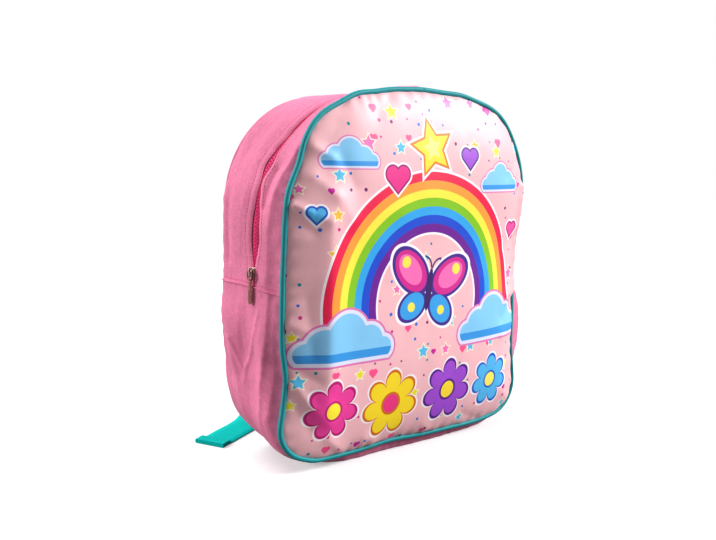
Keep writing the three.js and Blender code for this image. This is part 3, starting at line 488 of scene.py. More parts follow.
def oval(stations, around, half_width, half_height, power=1.0):
    """Rings for swept: an oval, squarer as power falls."""
    angle = np.linspace(0, 2 * math.pi, around, endpoint=False)
    circle = np.stack([np.cos(angle), np.sin(angle)], axis=1)
    ring = np.sign(circle) * np.abs(circle) ** power
    size = np.stack([np.broadcast_to(half_width, stations), np.broadcast_to(half_height, stations)], axis=1)
    return ring[None] * size[:, None]


def copied(piece, middles, *ways):
    """Copies a small mesh to many middles, in one mesh. The ways are each copy's own X, Y and Z, and their
    lengths stretch it."""
    name, old = piece.name, piece.data
    one = np.array([vertex.co[:] for vertex in old.vertices])
    faces = [tuple(face.vertices) for face in old.polygons]
    shape = middles[:, None] + sum(way[:, None] * one[None, :, k:k + 1] for k, way in enumerate(ways))
    every = [tuple(v + k * len(one) for v in face) for k in range(len(middles)) for face in faces]
    piece.data = bpy.data.meshes.new(name)
    piece.data.from_pydata((shape.reshape(-1, 3) * MM).tolist(), [], every)
    bpy.data.meshes.remove(old)
    piece.data.name = name
    return take(piece)


def stitched(name, points, normals, material, pitch=3.4, length=2.3, thick=0.5):
    """A row of stitches along points: one is modelled, and the rest are copies of it."""
    way = length_along(points)
    places = np.arange(pitch / 2, way[-1], pitch)
    at = rows_at(places, way, points)
    tangents = unit(rows_at(places + 0.5, way, points) - at)
    up = square_to(tangents, rows_at(places, way, normals))
    deselect()
    bpy.ops.mesh.primitive_uv_sphere_add(segments=6, ring_count=4, radius=0.5)
    piece = copied(named(name), at, tangents * length, np.cross(tangents, up) * thick, up * thick)
    bpy.ops.object.shade_smooth()
    return wear(piece, material)


# Finishes
def srgb(red, green, blue):
    """A colour as Blender's shaders take it, from the numbers of a photograph."""
    shares = [colour / 255 for colour in (red, green, blue)]
    return tuple(c / 12.92 if c <= 0.04 else ((c + 0.055) / 1.055) ** 2.4 for c in shares) + (1,)


def feed(tree, slot, value):
    """Links a node's input to another node, or sets it to a plain value."""
    if isinstance(value, Number):
        value = value.socket
    if isinstance(value, bpy.types.NodeSocket):
        tree.links.new(value, slot)
    else:
        slot.default_value = value


class Number:
    """A number that runs through a material's nodes, so that a pattern can be written as sums."""

    def __init__(self, tree, socket):
        self.tree, self.socket = tree, socket

    def math(self, operation, *others):
        node = self.tree.nodes.new("ShaderNodeMath")
        node.operation = operation
        for slot, value in zip(node.inputs, (self, *others)):
            feed(self.tree, slot, value)
        return Number(self.tree, node.outputs[0])

    def __add__(self, other):
        return self.math("ADD", other)

    def __sub__(self, other):
        return self.math("SUBTRACT", other)

    def __mul__(self, other):
        return self.math("MULTIPLY", other)

    def __truediv__(self, other):
        return self.math("DIVIDE", other)

    def __abs__(self):
        return self.math("ABSOLUTE")

    def least(self, other):
        return self.math("MINIMUM", other)

    def most(self, other):
        return self.math("MAXIMUM", other)

    def within(self, blur=0.4):
        """1 inside an outline and 0 outside, from the distance to it in millimetres."""
        node = (self * (-1 / blur) + 0.5).socket.node
        node.use_clamp = True
        return Number(self.tree, node.outputs[0])


class Finish:
    """A material in the making: its coordinates in millimetres, a colour, a relief and a gloss."""

    def __init__(self, name, roughness=0.7, coordinates="UV", **shader):
        self.material = bpy.data.materials.new(name)
        self.material.use_nodes = True
        self.tree = self.material.node_tree
        self.shader = self.tree.nodes["Principled BSDF"]
        self.shader.inputs["Roughness"].default_value = roughness
        for key, value in shader.items():
            self.shader.inputs[key.replace("_", " ")].default_value = value
        self.places = self.tree.nodes.new("ShaderNodeTexCoord").outputs[coordinates]
        split = self.node("ShaderNodeSeparateXYZ", Vector=self.places)
        self.x, self.y = (Number(self.tree, split.outputs[k]) * 1000 for k in range(2))
        self.colour = None
        self.height = None

    def node(self, kind, **inputs):
        node = self.tree.nodes.new(kind)
        for key, value in inputs.items():
            feed(self.tree, node.inputs[key.replace("_", " ")], value)
        return node

    def speckle(self, scale, detail=2.0, places=None):
        """Soft noise between 0 and 1: scale is its count of blobs in a metre."""
        made = self.node("ShaderNodeTexNoise", Vector=places or self.places, Scale=scale, Detail=detail)
        return Number(self.tree, made.outputs["Fac"])

    def place(self, x, y):
        return self.node("ShaderNodeCombineXYZ", X=x, Y=y).outputs[0]

    def paint(self, colour, where=1.0):
        """Lays a colour, or another paint, over what is there, where it is 1."""
        if self.colour is None:
            self.colour = self.node("ShaderNodeRGB").outputs[0]
            self.colour.default_value = colour
            return self
        made = self.tree.nodes.new("ShaderNodeMix")
        made.data_type = "RGBA"
        factor, under, over = made.inputs[0], made.inputs[6], made.inputs[7]
        for slot, value in ((factor, where), (under, self.colour), (over, colour)):
            feed(self.tree, slot, value)
        self.colour = made.outputs[2]
        return self

    def shade(self, amount, strength):
        """Darkens and lightens the colour by noise round one half."""
        made = self.node("ShaderNodeHueSaturation", Color=self.colour, Value=(amount - 0.5) * strength + 1)
        self.colour = made.outputs[0]
        return self

    def emboss(self, height, millimetres):
        """Adds a relief to the finish, of so many millimetres."""
        part = height * millimetres
        self.height = part if self.height is None else self.height + part
        return self

    def done(self):
        if self.colour is not None:
            self.tree.links.new(self.colour, self.shader.inputs["Base Color"])
        if self.height is not None:
            bump = self.node("ShaderNodeBump", Height=self.height, Distance=MM)
            self.tree.links.new(bump.outputs[0], self.shader.inputs["Normal"])
        return self.material


def waves(number, pitch):
    """A sine wave along a coordinate, so many millimetres long."""
    return (number * (2 * math.pi / pitch)).math("SINE")


def weave(finish, pitch, depth):
    """Threads crossing over and under, so many millimetres apart."""
    threads = waves(finish.x, pitch) * waves(finish.y, pitch)
    finish.emboss(threads, depth)
    return threads


def pink_cloth():
    finish = Finish("pink_woven_polyester", roughness=0.74, Sheen_Weight=0.42, Sheen_Roughness=0.45,
                    Sheen_Tint=srgb(255, 186, 216))
    finish.paint(srgb(226, 130, 164))
    threads = weave(finish, 0.62, 0.06)
    finish.shade(threads * 0.5 + 0.5, 0.1)
    long_slubs = finish.speckle(1, 2, finish.place(finish.x * 1.1, finish.y * 0.16))
    cross_slubs = finish.speckle(1, 2, finish.place(finish.x * 0.16, finish.y * 1.1))
    finish.shade(long_slubs, 0.42).shade(cross_slubs, 0.5)
    # Soft lighter and darker streaks along the way: an uneven tone that also paints in the shade and light of
    # soft folds.
    tone_and_fold_shade_streaks = finish.speckle(1, 2, finish.place(finish.x * 0.014, finish.y * 0.15))
    finish.shade(finish.speckle(26, 3), 0.12).shade(tone_and_fold_shade_streaks, 0.3)
    finish.emboss(long_slubs + cross_slubs, 0.07)
    return finish.done()


WHITE = srgb(252, 250, 255)
STAR_COLOURS = (srgb(240, 228, 40), srgb(255, 190, 60), srgb(245, 120, 190), srgb(90, 195, 235))
DOT_COLOURS = (srgb(120, 15, 110), srgb(40, 120, 215), srgb(20, 150, 165), srgb(215, 50, 150))
HEART_COLOURS = (srgb(205, 30, 160), srgb(250, 90, 150))
RAINBOW = (
    srgb(118, 20, 158), srgb(16, 84, 214), srgb(52, 176, 238), srgb(142, 205, 26),
    srgb(248, 240, 80), srgb(250, 168, 66), srgb(240, 22, 84),
)


def steps(finish, value, colours):
    """Equal flat bands of colour over 0 to 1."""
    ramp = finish.node("ShaderNodeValToRGB", Fac=value)
    ramp.color_ramp.interpolation = "CONSTANT"
    while len(ramp.color_ramp.elements) < len(colours):
        ramp.color_ramp.elements.new(0.5)
    for k, colour in enumerate(colours):
        ramp.color_ramp.elements[k].position = k / len(colours)
        ramp.color_ramp.elements[k].color = colour
    return ramp.outputs[0]


def disc(x, y, radius):
    return (x * x + y * y).math("SQRT") - radius


def turned(x, y, degrees):
    c, s = math.cos(math.radians(degrees)), math.sin(math.radians(degrees))
    return x * c + y * s, y * c - x * s


def egg(x, y, half_width, half_height, degrees=0):
    """Roughly the distance to an ellipse."""
    x, y = turned(x, y, degrees)
    x, y = x / half_width, y / half_height
    return ((x * x + y * y).math("SQRT") - 1) * min(half_width, half_height)


STAR_SLOPE = math.radians(63.7)  # of a point's side, for a plump star of five points


def star(x, y, radius):
    fifth = 2 * math.pi / 5
    angle = x.math("ARCTAN2", y)
    fold = abs((angle + fifth * 10.5).math("MODULO", fifth) - fifth / 2)
    far = (x * x + y * y).math("SQRT")
    nx, ny = math.cos(STAR_SLOPE), math.sin(STAR_SLOPE)
    return far * fold.math("COSINE") * nx + far * fold.math("SINE") * ny - radius * nx


def heart(x, y, radius):
    x = abs(x)
    side = radius * 1.25
    lobe = disc(x - side / (2 * math.sqrt(2)), y - side / (2 * math.sqrt(2)), side / 2)
    point = (x + abs(y) - side / math.sqrt(2)) * (1 / math.sqrt(2))
    return lobe.least(point)


def flower(x, y, radius, petals):
    angle = x.math("ARCTAN2", y)
    far = (x * x + y * y).math("SQRT")
    wave = abs((angle * (petals / 2)).math("COSINE"))
    return far - (wave.math("POWER", 0.55) * 0.42 + 0.58) * radius


def scattered(finish, cell, chance, seed, draw):
    """One motif in some of a grid's cells, each at its own place. draw gets its x, y, size and tint, and
    whether the cell has one."""
    x, y = finish.x / cell + seed, finish.y / cell + seed
    whole = finish.place(x.math("FLOOR"), y.math("FLOOR"))
    random = finish.node("ShaderNodeTexWhiteNoise", Vector=whole)
    random.noise_dimensions = "2D"
    split = finish.node("ShaderNodeSeparateColor", Color=random.outputs["Color"])
    one, two, three = (Number(finish.tree, split.outputs[k]) for k in range(3))
    inside_x = (x.math("FRACT") - one * 0.5 - 0.25) * cell
    inside_y = (y.math("FRACT") - two * 0.5 - 0.25) * cell
    other = Number(finish.tree, random.outputs["Value"])
    shown = other.math("LESS_THAN", chance)
    draw(inside_x, inside_y, three, other / chance, shown)


def printed_satin():
    """Pale pink coated satin with a generic print: a rainbow on two clouds over a butterfly, with flowers
    below, and stars, hearts and dots between."""
    finish = Finish("printed_coated_satin", roughness=0.5, Coat_Weight=0.06, Coat_Roughness=0.35)
    x, y = finish.x, finish.y
    finish.paint(srgb(246, 196, 201))

    def dots(px, py, size, tint, shown):
        finish.paint(steps(finish, tint, DOT_COLOURS), disc(px, py, size * 0.7 + 0.9).within() * shown)

    def stars(px, py, size, tint, shown):
        shape = star(px, py, size * 3.2 + 4)
        finish.paint(srgb(250, 245, 215), (shape - 0.9).within() * shown)
        finish.paint(steps(finish, tint, STAR_COLOURS), shape.within() * shown)

    def hearts(px, py, size, tint, shown):
        shape = heart(px, py, size * 2 + 2.4)
        finish.paint(steps(finish, tint, HEART_COLOURS), shape.within() * shown)

    scattered(finish, 14.5, 0.42, 3.31, dots)
    scattered(finish, 37, 0.62, 8.17, hearts)
    scattered(finish, 31, 0.55, 5.63, stars)

    def edged(shape, *layers):
        """Paints a shape in layers of a colour and how far inside its outline each starts."""
        for colour, inset in layers:
            finish.paint(colour, (shape + inset).within())

    # the rainbow, from its inner colour outwards
    far = disc(x, y - 140, 0)
    band = (far - 60) * (1 / 52)
    arch = (abs(far - 86) - 26).most(y * -1 + 118)
    edged(arch, (WHITE, -2))
    finish.paint(steps(finish, band, RAINBOW), arch.within())

    # clouds, two at its feet and two smaller ones high up
    def puffs(cx, cz, side, size):
        cloud = None
        for px, pz, radius in (
            (0, 20, 19), (-22, 13, 14.5), (21, 12, 15.5), (36, 7, 9.5),
            (-37, 7, 9), (4, 6, 16), (-14, 7, 11), (-30, 6, 8),
        ):
            part = disc((x - cx) * side - px * size, y - cz - pz * size, radius * size)
            cloud = part if cloud is None else cloud.least(part)
        return cloud.most(y * -1 + cz)

    for cx, cz, side, size in ((-88, 98, -1, 1), (88, 98, 1, 1), (-86, 256, 1, 0.56), (90, 236, -1, 0.6)):
        cloud = puffs(cx, cz, side, size)
        rims = (srgb(226, 128, 186), -5 * size), (srgb(226, 230, 248), -3.2 * size), (srgb(58, 160, 230), 0)
        edged(cloud, *rims)
        finish.paint(srgb(140, 208, 246), cloud.most(y * -1 + cz + 7 * size).within())

    # the butterfly, level with the rainbow's middle
    bx, by = turned(x, y - 150, -9)
    wing = abs(bx)
    upper = egg(wing - 24, by - 14, 26, 17, 36)
    lower = egg(wing - 17, by + 16, 18, 13, -38)
    edged(upper.least(lower), (WHITE, -2), (srgb(70, 40, 150), 0))
    edged(upper, (srgb(214, 36, 152), 2.6))
    edged(egg(wing - 25, by - 15, 16.5, 10, 36), (srgb(250, 120, 190), 0))
    edged(lower, (srgb(60, 170, 235), 2.4))
    edged(disc(wing - 31, by - 21, 5).least(disc(wing - 18, by + 17, 4.2)), (srgb(250, 236, 90), 0))
    edged(egg(bx, by, 3.6, 19), (srgb(60, 20, 110), 0))
    feeler = abs(disc(wing - 11, by - 18, 10.4)) - 0.8
    edged(feeler.most(by * -1 + 19).most(wing - 10), (srgb(60, 20, 110), 0))

    # a star and four hearts round the arch
    tx, ty = turned(x, y - 272, 12)
    rims = (WHITE, -2), (srgb(226, 130, 20), 0), (srgb(252, 226, 50), 2), (srgb(255, 244, 140), 7)
    edged(star(tx, ty, 27), *rims)
    for cx, cz, size, outer, inner in (
        (-40, 244, 13, srgb(170, 16, 120), srgb(236, 50, 150)),
        (46, 262, 11, srgb(90, 20, 140), srgb(166, 80, 214)),
        (-118, 216, 8, srgb(20, 100, 200), srgb(90, 190, 240)),
        (116, 196, 9, srgb(190, 24, 120), srgb(245, 90, 170)),
    ):
        edged(heart(x - cx, y - cz, size), (WHITE, -1.6), (outer, 0), (inner, 1.6))

    # the flowers below
    for cx, cz, radius, outer, inner, heart_colour in (
        (-98, 56, 26, srgb(190, 24, 120), srgb(240, 70, 165), srgb(250, 236, 60)),
        (-36, 52, 31, srgb(214, 120, 20), srgb(252, 226, 40), srgb(238, 60, 140)),
        (32, 54, 30, srgb(92, 20, 140), srgb(168, 84, 214), srgb(252, 226, 60)),
        (92, 54, 26, srgb(20, 100, 200), srgb(90, 190, 240), srgb(252, 240, 110)),
    ):
        px, py = x - cx, y - cz
        shape = flower(px, py, radius, 7)
        edged(shape, (srgb(250, 246, 250), -2), (outer, 0), (inner, 2.6))
        edged(disc(px, py, radius * 0.34), (outer, 0), (heart_colour, radius * 0.07))

    weave(finish, 0.5, 0.012)
    finish.shade(finish.speckle(60, 3), 0.05)
    finish.emboss(finish.speckle(330, 3), 0.05)
    return finish.done()


def covered_piping():
    finish = Finish("teal_piping_tape", roughness=0.55, Coat_Weight=0.05, Coat_Roughness=0.4)
    finish.paint(srgb(0, 152, 157))
    finish.shade(finish.speckle(200, 3), 0.16)
    finish.emboss(waves(finish.x + finish.y * 0.5, 0.7), 0.04).emboss(finish.speckle(120, 2), 0.25)
    return finish.done()


def webbing(name, colour, dark):
    """Ribbed webbing: fine ribs across it and yarns along it, darker where they meet."""
    finish = Finish(name, roughness=0.9, Specular_IOR_Level=0.2)
    finish.paint(colour)
    ribs, yarns = waves(finish.x, 1.5), waves(finish.y, 1.1)
    finish.paint(dark, (ribs * yarns).math("MULTIPLY", 0.5) + 0.12)
    finish.shade(finish.speckle(90, 3), 0.16)
    finish.emboss(ribs, 0.12).emboss(yarns, 0.05)
    return finish.done()


def zip_tape_cloth():
    finish = Finish("crimson_zip_tape", roughness=0.7, Sheen_Weight=0.2)
    finish.paint(srgb(230, 54, 136))
    # Painted shade: the tape is darkened more than 2.4 mm from the zip's line, where the mouth's lips would
    # shade it.
    from_edge = abs(finish.y - ZIP_LINE * BAND_ACROSS) * -1 + 2.4
    finish.paint(srgb(150, 8, 62), from_edge.within(1.6) * 0.9)
    threads = waves(finish.y, 0.9)
    finish.shade(threads * 0.5 + 0.5, 0.2)
    finish.emboss(threads, 0.08)
    return finish.done()


def plain(name, colour, roughness, grain, depth, metallic=0.0, wear_colour=None):
    """Moulded plastic, thread or metal, with a fine grain in it."""
    finish = Finish(name, roughness=roughness, coordinates="Object", Metallic=metallic)
    finish.paint(colour)
    if wear_colour:
        worn = finish.speckle(700, 4).math("SUBTRACT", 0.52) * 6
        worn.socket.node.use_clamp = True
        finish.paint(wear_colour, worn)
    finish.shade(finish.speckle(grain, 3), 0.14)
    finish.emboss(finish.speckle(grain * 2, 3), depth)
    return finish.done()


PINK = pink_cloth()
SATIN = printed_satin()
PIPING = covered_piping()
WEB = webbing("teal_webbing", srgb(0, 206, 196), srgb(0, 168, 160))
TAPE = zip_tape_cloth()
PINK_THREAD = plain("pink_thread", srgb(214, 92, 138), 0.7, 900, 0.03)
TEAL_THREAD = plain("teal_thread", srgb(8, 140, 140), 0.7, 900, 0.03)
TEETH = plain("crimson_nylon", srgb(220, 40, 108), 0.42, 900, 0.02)
BRONZE = plain("bronze_plating", srgb(176, 132, 116), 0.32, 500, 0.05, 0.85, srgb(224, 198, 184))
# The pull's bronze plating made darker for the ring: painted shade.
SHADED_BRONZE = plain("bronze_plating_painted_shade", srgb(112, 74, 70), 0.3, 500, 0.05, 0.85, srgb(176, 140, 128))
# The pull's bronze plating made paler for the slider: painted light.
LIT_BRONZE = plain("bronze_plating_painted_light", srgb(212, 186, 178), 0.4, 500, 0.05, 0.55, srgb(232, 216, 208))
LOCK_PLASTIC = plain("teal_moulded_plastic", srgb(16, 182, 172), 0.42, 600, 0.03)


# The front panel
def front_panel():
    points, across, up = panel_points(FRONT_SEAM, PIPING_RADIUS - 0.9, 150, 168)
    x, z = points[..., 0].copy(), points[..., 2].copy()
    uv = np.stack([x, z], axis=2) * MM
    points[..., 1] -= 0.3 + FRONT_PUFF * rounded(across) * rounded(up)
    edge = in_from_edge(across, up, FRONT_WIDTH, FRONT_HEIGHT)
    height = relief(PANEL_CREASES, x, z) * smooth(edge / 3.5)
    height += (0.7 * ripple(x, z, 70, 60, 2.4) + 0.35 * ripple(x, z, 24, 24, 5.1)) * smooth(edge / 25)
    way = np.where(np.minimum(across, 1 - across) < np.minimum(up, 1 - up), z, x)
    height += gathers(way, edge, 4.2) * 1.3
    points += outward_normals(points) * height[..., None]
    return wear(laid_cloth("front_panel_cloth", points, uv, CLOTH), SATIN, node="front_panel")


def back_panel():
    points, across, up = panel_points(BACK_SEAM, 0.2, 90, 100)
    x, z = points[..., 0].copy(), points[..., 2].copy()
    uv = np.stack([x, z], axis=2) * MM
    points[..., 1] += BACK_PUFF * rounded(across) * rounded(up)
    edge = in_from_edge(across, up, 290, 310)
    height = (1.1 * ripple(x, z, 60, 90, 7.7) + 0.4 * ripple(x, z, 22, 30, 1.3)) * smooth(edge / 20)
    height += gathers(np.where(across * (1 - across) < up * (1 - up), z, x), edge, 6.6) - 0.4
    points += outward_normals(points) * height[..., None]
    return wear(laid_cloth("back_panel_cloth", points, uv, CLOTH), PINK, node="back_panel")


# The side bands and the zip between them
def band_uv(ats, across):
    way = np.repeat(np.array(ats)[:, None] * HALF_WAY, across.shape[1], axis=1)
    return np.stack([way, across * BAND_ACROSS], axis=2) * MM


def lower_band():
    ats = np.linspace(-JOIN, JOIN, 331)
    across = np.tile(np.linspace(0, 1, 73), (len(ats), 1))
    points = folded_band(ats, across)
    return wear(laid_cloth("lower_band_cloth", points, band_uv(ats, across), CLOTH), PINK, node="lower_band")


ARCH_STATIONS = 321


def over_arch():
    """Shares of the way over the arch from the right join to the left one, where they are on the seam, and
    the same running on past the top's middle."""
    shares = np.linspace(0, 1, ARCH_STATIONS)
    ats = JOIN + shares * 2 * (1 - JOIN)
    return shares, np.where(ats > 1, ats - 2, ats), ats


def mouth_half(shares):
    """How far each side of the zip's line its mouth is open, as a share of the way across the band."""
    at, openness = np.array(ZIP_OPENNESS).T
    row = np.clip(np.searchsorted(at, shares) - 1, 0, len(at) - 2)
    along = smooth((shares - at[row]) / (at[row + 1] - at[row]))
    return (openness[row] * (1 - along) + openness[row + 1] * along) * ZIP_MOUTH / 2 / BAND_ACROSS


def arch_points(ats, across):
    """The folded band over the arch, whose stations go from the right side to the left one."""
    order = np.argsort(ats)
    points = np.zeros(across.shape + (3,))
    points[order] = folded_band(np.array(ats)[order], across[order])
    return points


EDGE_ROLL = 1.5  # how far the cloth rolls in along the zip, and how wide the roll is


def zip_band(which, start, end, rows):
    """One of the two bands beside the zip, from a seam to the zip's mouth, where its edge rolls in. Returns
    what its row of stitches needs."""
    _, ats, running = over_arch()
    t = np.linspace(0, 1, rows + 1)[None]
    across = start + (end[:, None] - start) * t
    points = arch_points(ats, across)
    from_edge = (1 - t) * np.abs(end[:, None] - start) * BAND_ACROSS
    points -= outward_normals(points) * (EDGE_ROLL * np.exp(-((from_edge / EDGE_ROLL) ** 2)))[..., None]
    piece = laid_cloth(f"{which}_zip_band_cloth", points, band_uv(running, across), CLOTH)
    wear(piece, PINK, node=f"{which}_zip_band")
    up = outward_normals(points)[:, -5]
    return f"{which}_zip_stitches", points[:, -5] + up * 0.1, up


def zip_bands():
    half = mouth_half(over_arch()[0])
    rows = [zip_band("front", 0.0, ZIP_LINE - half, 26), zip_band("rear", 1.0, ZIP_LINE + half, 28)]
    for name, line, up in rows:
        stitched(name, line, up, PINK_THREAD, pitch=3.0, length=2.0, thick=0.42)


TAPE_HALF = 9.5
TAPE_DROP = 2.2  # below the bands
TOOTH_PITCH = 1.5


def zip_chain():
    """The two tapes as one strip below the mouth, and the coil's teeth along its middle."""
    shares, ats, running = over_arch()
    across = ZIP_LINE + np.linspace(-1, 1, 13)[None] * TAPE_HALF / BAND_ACROSS + 0 * shares[:, None]
    points = arch_points(ats, across)
    normals = outward_normals(points)
    tape = points - normals * TAPE_DROP
    wear(laid_cloth("zip_tape_cloth", tape, band_uv(running, across), 0.7), TAPE, node="zip_tape")
    middle, up = tape[:, 6] + normals[:, 6] * 0.3, normals[:, 6]
    side = unit(np.cross(np.gradient(middle, axis=0), up))
    way = length_along(middle)
    places = np.arange(1, way[-1] - 1, TOOTH_PITCH)
    at, up, side = (rows_at(places, way, rows) for rows in (middle, up, side))
    hand = np.resize((-1, 1), len(places))[:, None]
    leaning = unit(side * hand * 1.8 - up * 0.4)
    deselect()
    bpy.ops.mesh.primitive_cylinder_add(vertices=6, radius=0.45, depth=2.4)
    tooth = named("zip_coil_teeth")
    piece = copied(tooth, at + side * hand * 1.1 + up * 0.3, up, np.cross(leaning, up), leaning)
    edit_all(piece, bpy.ops.mesh.normals_make_consistent, inside=False)
    return wear(piece, TEETH, node="zip_coil")


def join_seams():
    """The folded hem that closes each end of the zip, with a row of stitches above it."""
    for side, name in ((-1, "left"), (1, "right")):
        spread = np.array([-5, -3.2, -2, -1, 0, 1, 2, 3.2, 5])
        across = np.tile(np.linspace(0.01, 0.99, 60), (len(spread), 1))
        ats = [side * (JOIN + s / HALF_WAY) for s in spread]
        points = folded_band(ats, across)
        normals = outward_normals(points)
        bead = oval(60, 8, 0.55, 0.75)
        wear(swept(f"join_hem_{name}", points[4] + normals[4] * 0.35, normals[4], bead, False), PINK)
        stitched(f"join_stitches_{name}", points[7] + normals[7] * 0.15, normals[7], PINK_THREAD)


def seam_ring(seam, count, lift=0.0):
    """Places all round a seam, and which way is out of it there."""
    pairs = [seam.at(at) for at in np.linspace(-1, 1, count, endpoint=False)]
    outward = np.array([out for _, out in pairs])
    return np.array([place for place, _ in pairs]) + outward * lift, outward


def piping():
    """The covered cord round the front seam, a little uneven in thickness, and the back seam's thin binding."""
    count = 420
    ring, outward = seam_ring(FRONT_SEAM, count)
    way = np.arange(count) * 2 * HALF_WAY / count
    radius = PIPING_RADIUS * (1 + 0.05 * ripple(way, way * 0, 22, 1, 3.3))
    cord = swept("front_piping_cord", ring, outward, oval(count, 14, radius, radius), True)
    wear(cord, PIPING, node="front_piping")
    count = 360
    ring, outward = seam_ring(BACK_SEAM, count, -0.6)
    ring[:, 1] -= 0.3
    ring[:, 2] = np.maximum(ring[:, 2], 1.5)
    wear(swept("back_seam_binding", ring, outward, oval(count, 10, 1.5, 1.35), True), PINK)


# The slider and its pull
PULL_PIVOT = np.array(frame["record"]["behaviour"]["joints"][0]["pos_m"]) * 1000
PIVOT_RISE = 2.55
SEAT = PULL_PIVOT + np.array((PIVOT_RISE, 0, 0))


def block(name, lows, highs, bevel=0.0):
    """A rounded block between two corners, in millimetres from the slider's seat: out, across and up."""
    deselect()
    lows, highs = np.array(lows, float), np.array(highs, float)
    out, across, up = (lows + highs) / 2
    place = SEAT + np.array((-out, -across, up))
    bpy.ops.mesh.primitive_cube_add(size=1, location=tuple(place * MM), scale=tuple((highs - lows) * MM))
    piece = settle(named(name))
    if bevel:
        finish_with(piece, "BEVEL", width=bevel * MM, segments=3, limit_method="ANGLE", affect="EDGES")
    return piece


def join_pieces(name, pieces):
    take(pieces[0])
    for piece in pieces:
        piece.select_set(True)
    bpy.ops.object.join()
    return named(name)


def select_vertices(piece, chosen):
    take(piece)
    bpy.ops.object.mode_set(mode="EDIT")
    bpy.ops.mesh.select_all(action="DESELECT")
    bpy.ops.mesh.select_mode(type="VERT")
    bpy.ops.object.mode_set(mode="OBJECT")
    for vertex in piece.data.vertices:
        vertex.select = chosen(vertex.co)
    bpy.ops.object.mode_set(mode="EDIT")


def zip_slider():
    """A plate that narrows to its tail, over a second plate inside, with a bridge for the pull."""
    parts = []
    for name, low, high in (("slider_plate", 0.3, 1.2), ("slider_under_plate", -1.3, -0.6)):
        plate = block(name, (low, -2.9, -6.4), (high, 2.9, 2.3))
        select_vertices(plate, lambda co: co.z < (SEAT[2] - 2) * MM)
        bpy.ops.transform.resize(value=(1, 0.74, 1), center_override=tuple(SEAT * MM))
        bpy.ops.object.mode_set(mode="OBJECT")
        finish_with(plate, "BEVEL", width=0.9 * MM, segments=3, limit_method="ANGLE", affect="EDGES")
        parts.append(plate)
    for name, lows, highs, bevel in (
        ("slider_neck", (-0.9, -0.8, 0.8), (0.9, 0.8, 2.2), 0.3),
        ("slider_leg", (1, -0.6, -5.2), (4.2, 0.6, -4.2), 0.3),
        ("slider_far_leg", (1, -0.6, 1.2), (4.1, 0.6, 2.2), 0.3),
        ("slider_bar", (3.5, -0.6, -5.2), (4.4, 0.6, 2.2), 0.4),
        ("slider_rim_left", (0.9, -2.8, -4.6), (1.5, -2.3, 1.5), 0.2),
        ("slider_rim_right", (0.9, 2.3, -4.6), (1.5, 2.8, 1.5), 0.2),
    ):
        parts.append(block(name, lows, highs, bevel))
    whole = join_pieces("zip_slider_metal", parts)
    # The slider wears the bronze plating made paler: painted light.
    return wear(soften(whole, 35), LIT_BRONZE, node="zip_slider")


def zip_pull():
    """A ring round the bridge's lower leg, a neck, and a flat tab with a rounded end and a raised ridge."""
    deselect()
    eye_middle = PULL_PIVOT + np.array((0, 0, -4.07))
    bpy.ops.mesh.primitive_torus_add(
        major_segments=36, minor_segments=12, major_radius=3.7 * MM, minor_radius=0.95 * MM,
        location=tuple(eye_middle * MM), rotation=(0, math.pi / 2, 0))
    eye = settle(named("zip_pull_ring"))
    edit_all(eye, bpy.ops.transform.resize, value=(0.8, 0.95, 1.1), center_override=tuple(eye_middle * MM))
    tab = block("pull_tab", (PIVOT_RISE - 0.55, -2.2, -27.4), (PIVOT_RISE + 0.55, 2.2, -10.4))
    edit_all(tab, bpy.ops.mesh.subdivide, number_cuts=6)
    for vertex in tab.data.vertices:
        drop = (SEAT[2] * MM - vertex.co.z) / MM
        waist = 0.66 + 0.34 * smooth((drop - 12) / 8)
        tip = math.sqrt(max(0.0, 1 - max(0, (drop - 25.2) / 2.5) ** 2))
        vertex.co.y = SEAT[1] * MM + (vertex.co.y - SEAT[1] * MM) * waist * max(tip, 0.35)
    finish_with(tab, "BEVEL", width=0.3 * MM, segments=3, limit_method="ANGLE", angle_limit=math.radians(50))
    neck = block("pull_neck", (PIVOT_RISE - 0.65, -1.6, -11.4), (PIVOT_RISE + 0.7, 1.6, -8.2), 0.45)
    ridge = block("pull_ridge", (PIVOT_RISE + 0.4, -0.7, -24.6), (PIVOT_RISE + 0.85, 0.7, -14.2), 0.22)
    # The ring wears the bronze plating made darker: painted shade.
    wear(soften(eye, 60), SHADED_BRONZE, "pull")
    whole = join_pieces("zip_pull_metal", [tab, neck, ridge])
    return wear(soften(whole, 40), BRONZE, "pull", "zip_pull")


# The straps
WEB_WIDTH = 30
WEB_THICKNESS = 1.5
HEM_THICKNESS = 3.8
PAD_WIDTH = 42
PAD_THICKNESS = 7
PAD_ROUND = 9
BACK_Y = DEPTH / 2
PAD_TOP_X = 54
PAD_TOP_Z = BACK_TOP - 20
PAD_LENGTH = 176
PAD_END_Z = PAD_TOP_Z - PAD_LENGTH
PAD_STITCH_INSET = 4
STRAP_BOW = 55
LOOP_LENGTH = 10
LOCK_WIDTH, LOCK_SIDE = 38, 3
LOCK_BAR, LOCK_SLOT = 3.5, 7
LOCK_HALF = (3 * LOCK_BAR + 2 * LOCK_SLOT) / 2
LOCK_X = PAD_TOP_X + 13
LOCK_Y = BACK_Y + STRAP_BOW
LOCK_Z = PAD_END_Z - LOOP_LENGTH - LOCK_HALF
LOCK_THICKNESS = 3
GAP = 0.3


def back_face(x, z, reach):
    """How far back the back panel's solid lies near a place."""
    points, across, up = panel_points(BACK_SEAM, -0.4, 48, 48)
    y = points[..., 1] + BACK_PUFF * rounded(across) * rounded(up)
    return y[np.hypot(points[..., 0] - x, points[..., 2] - z) < reach].max()


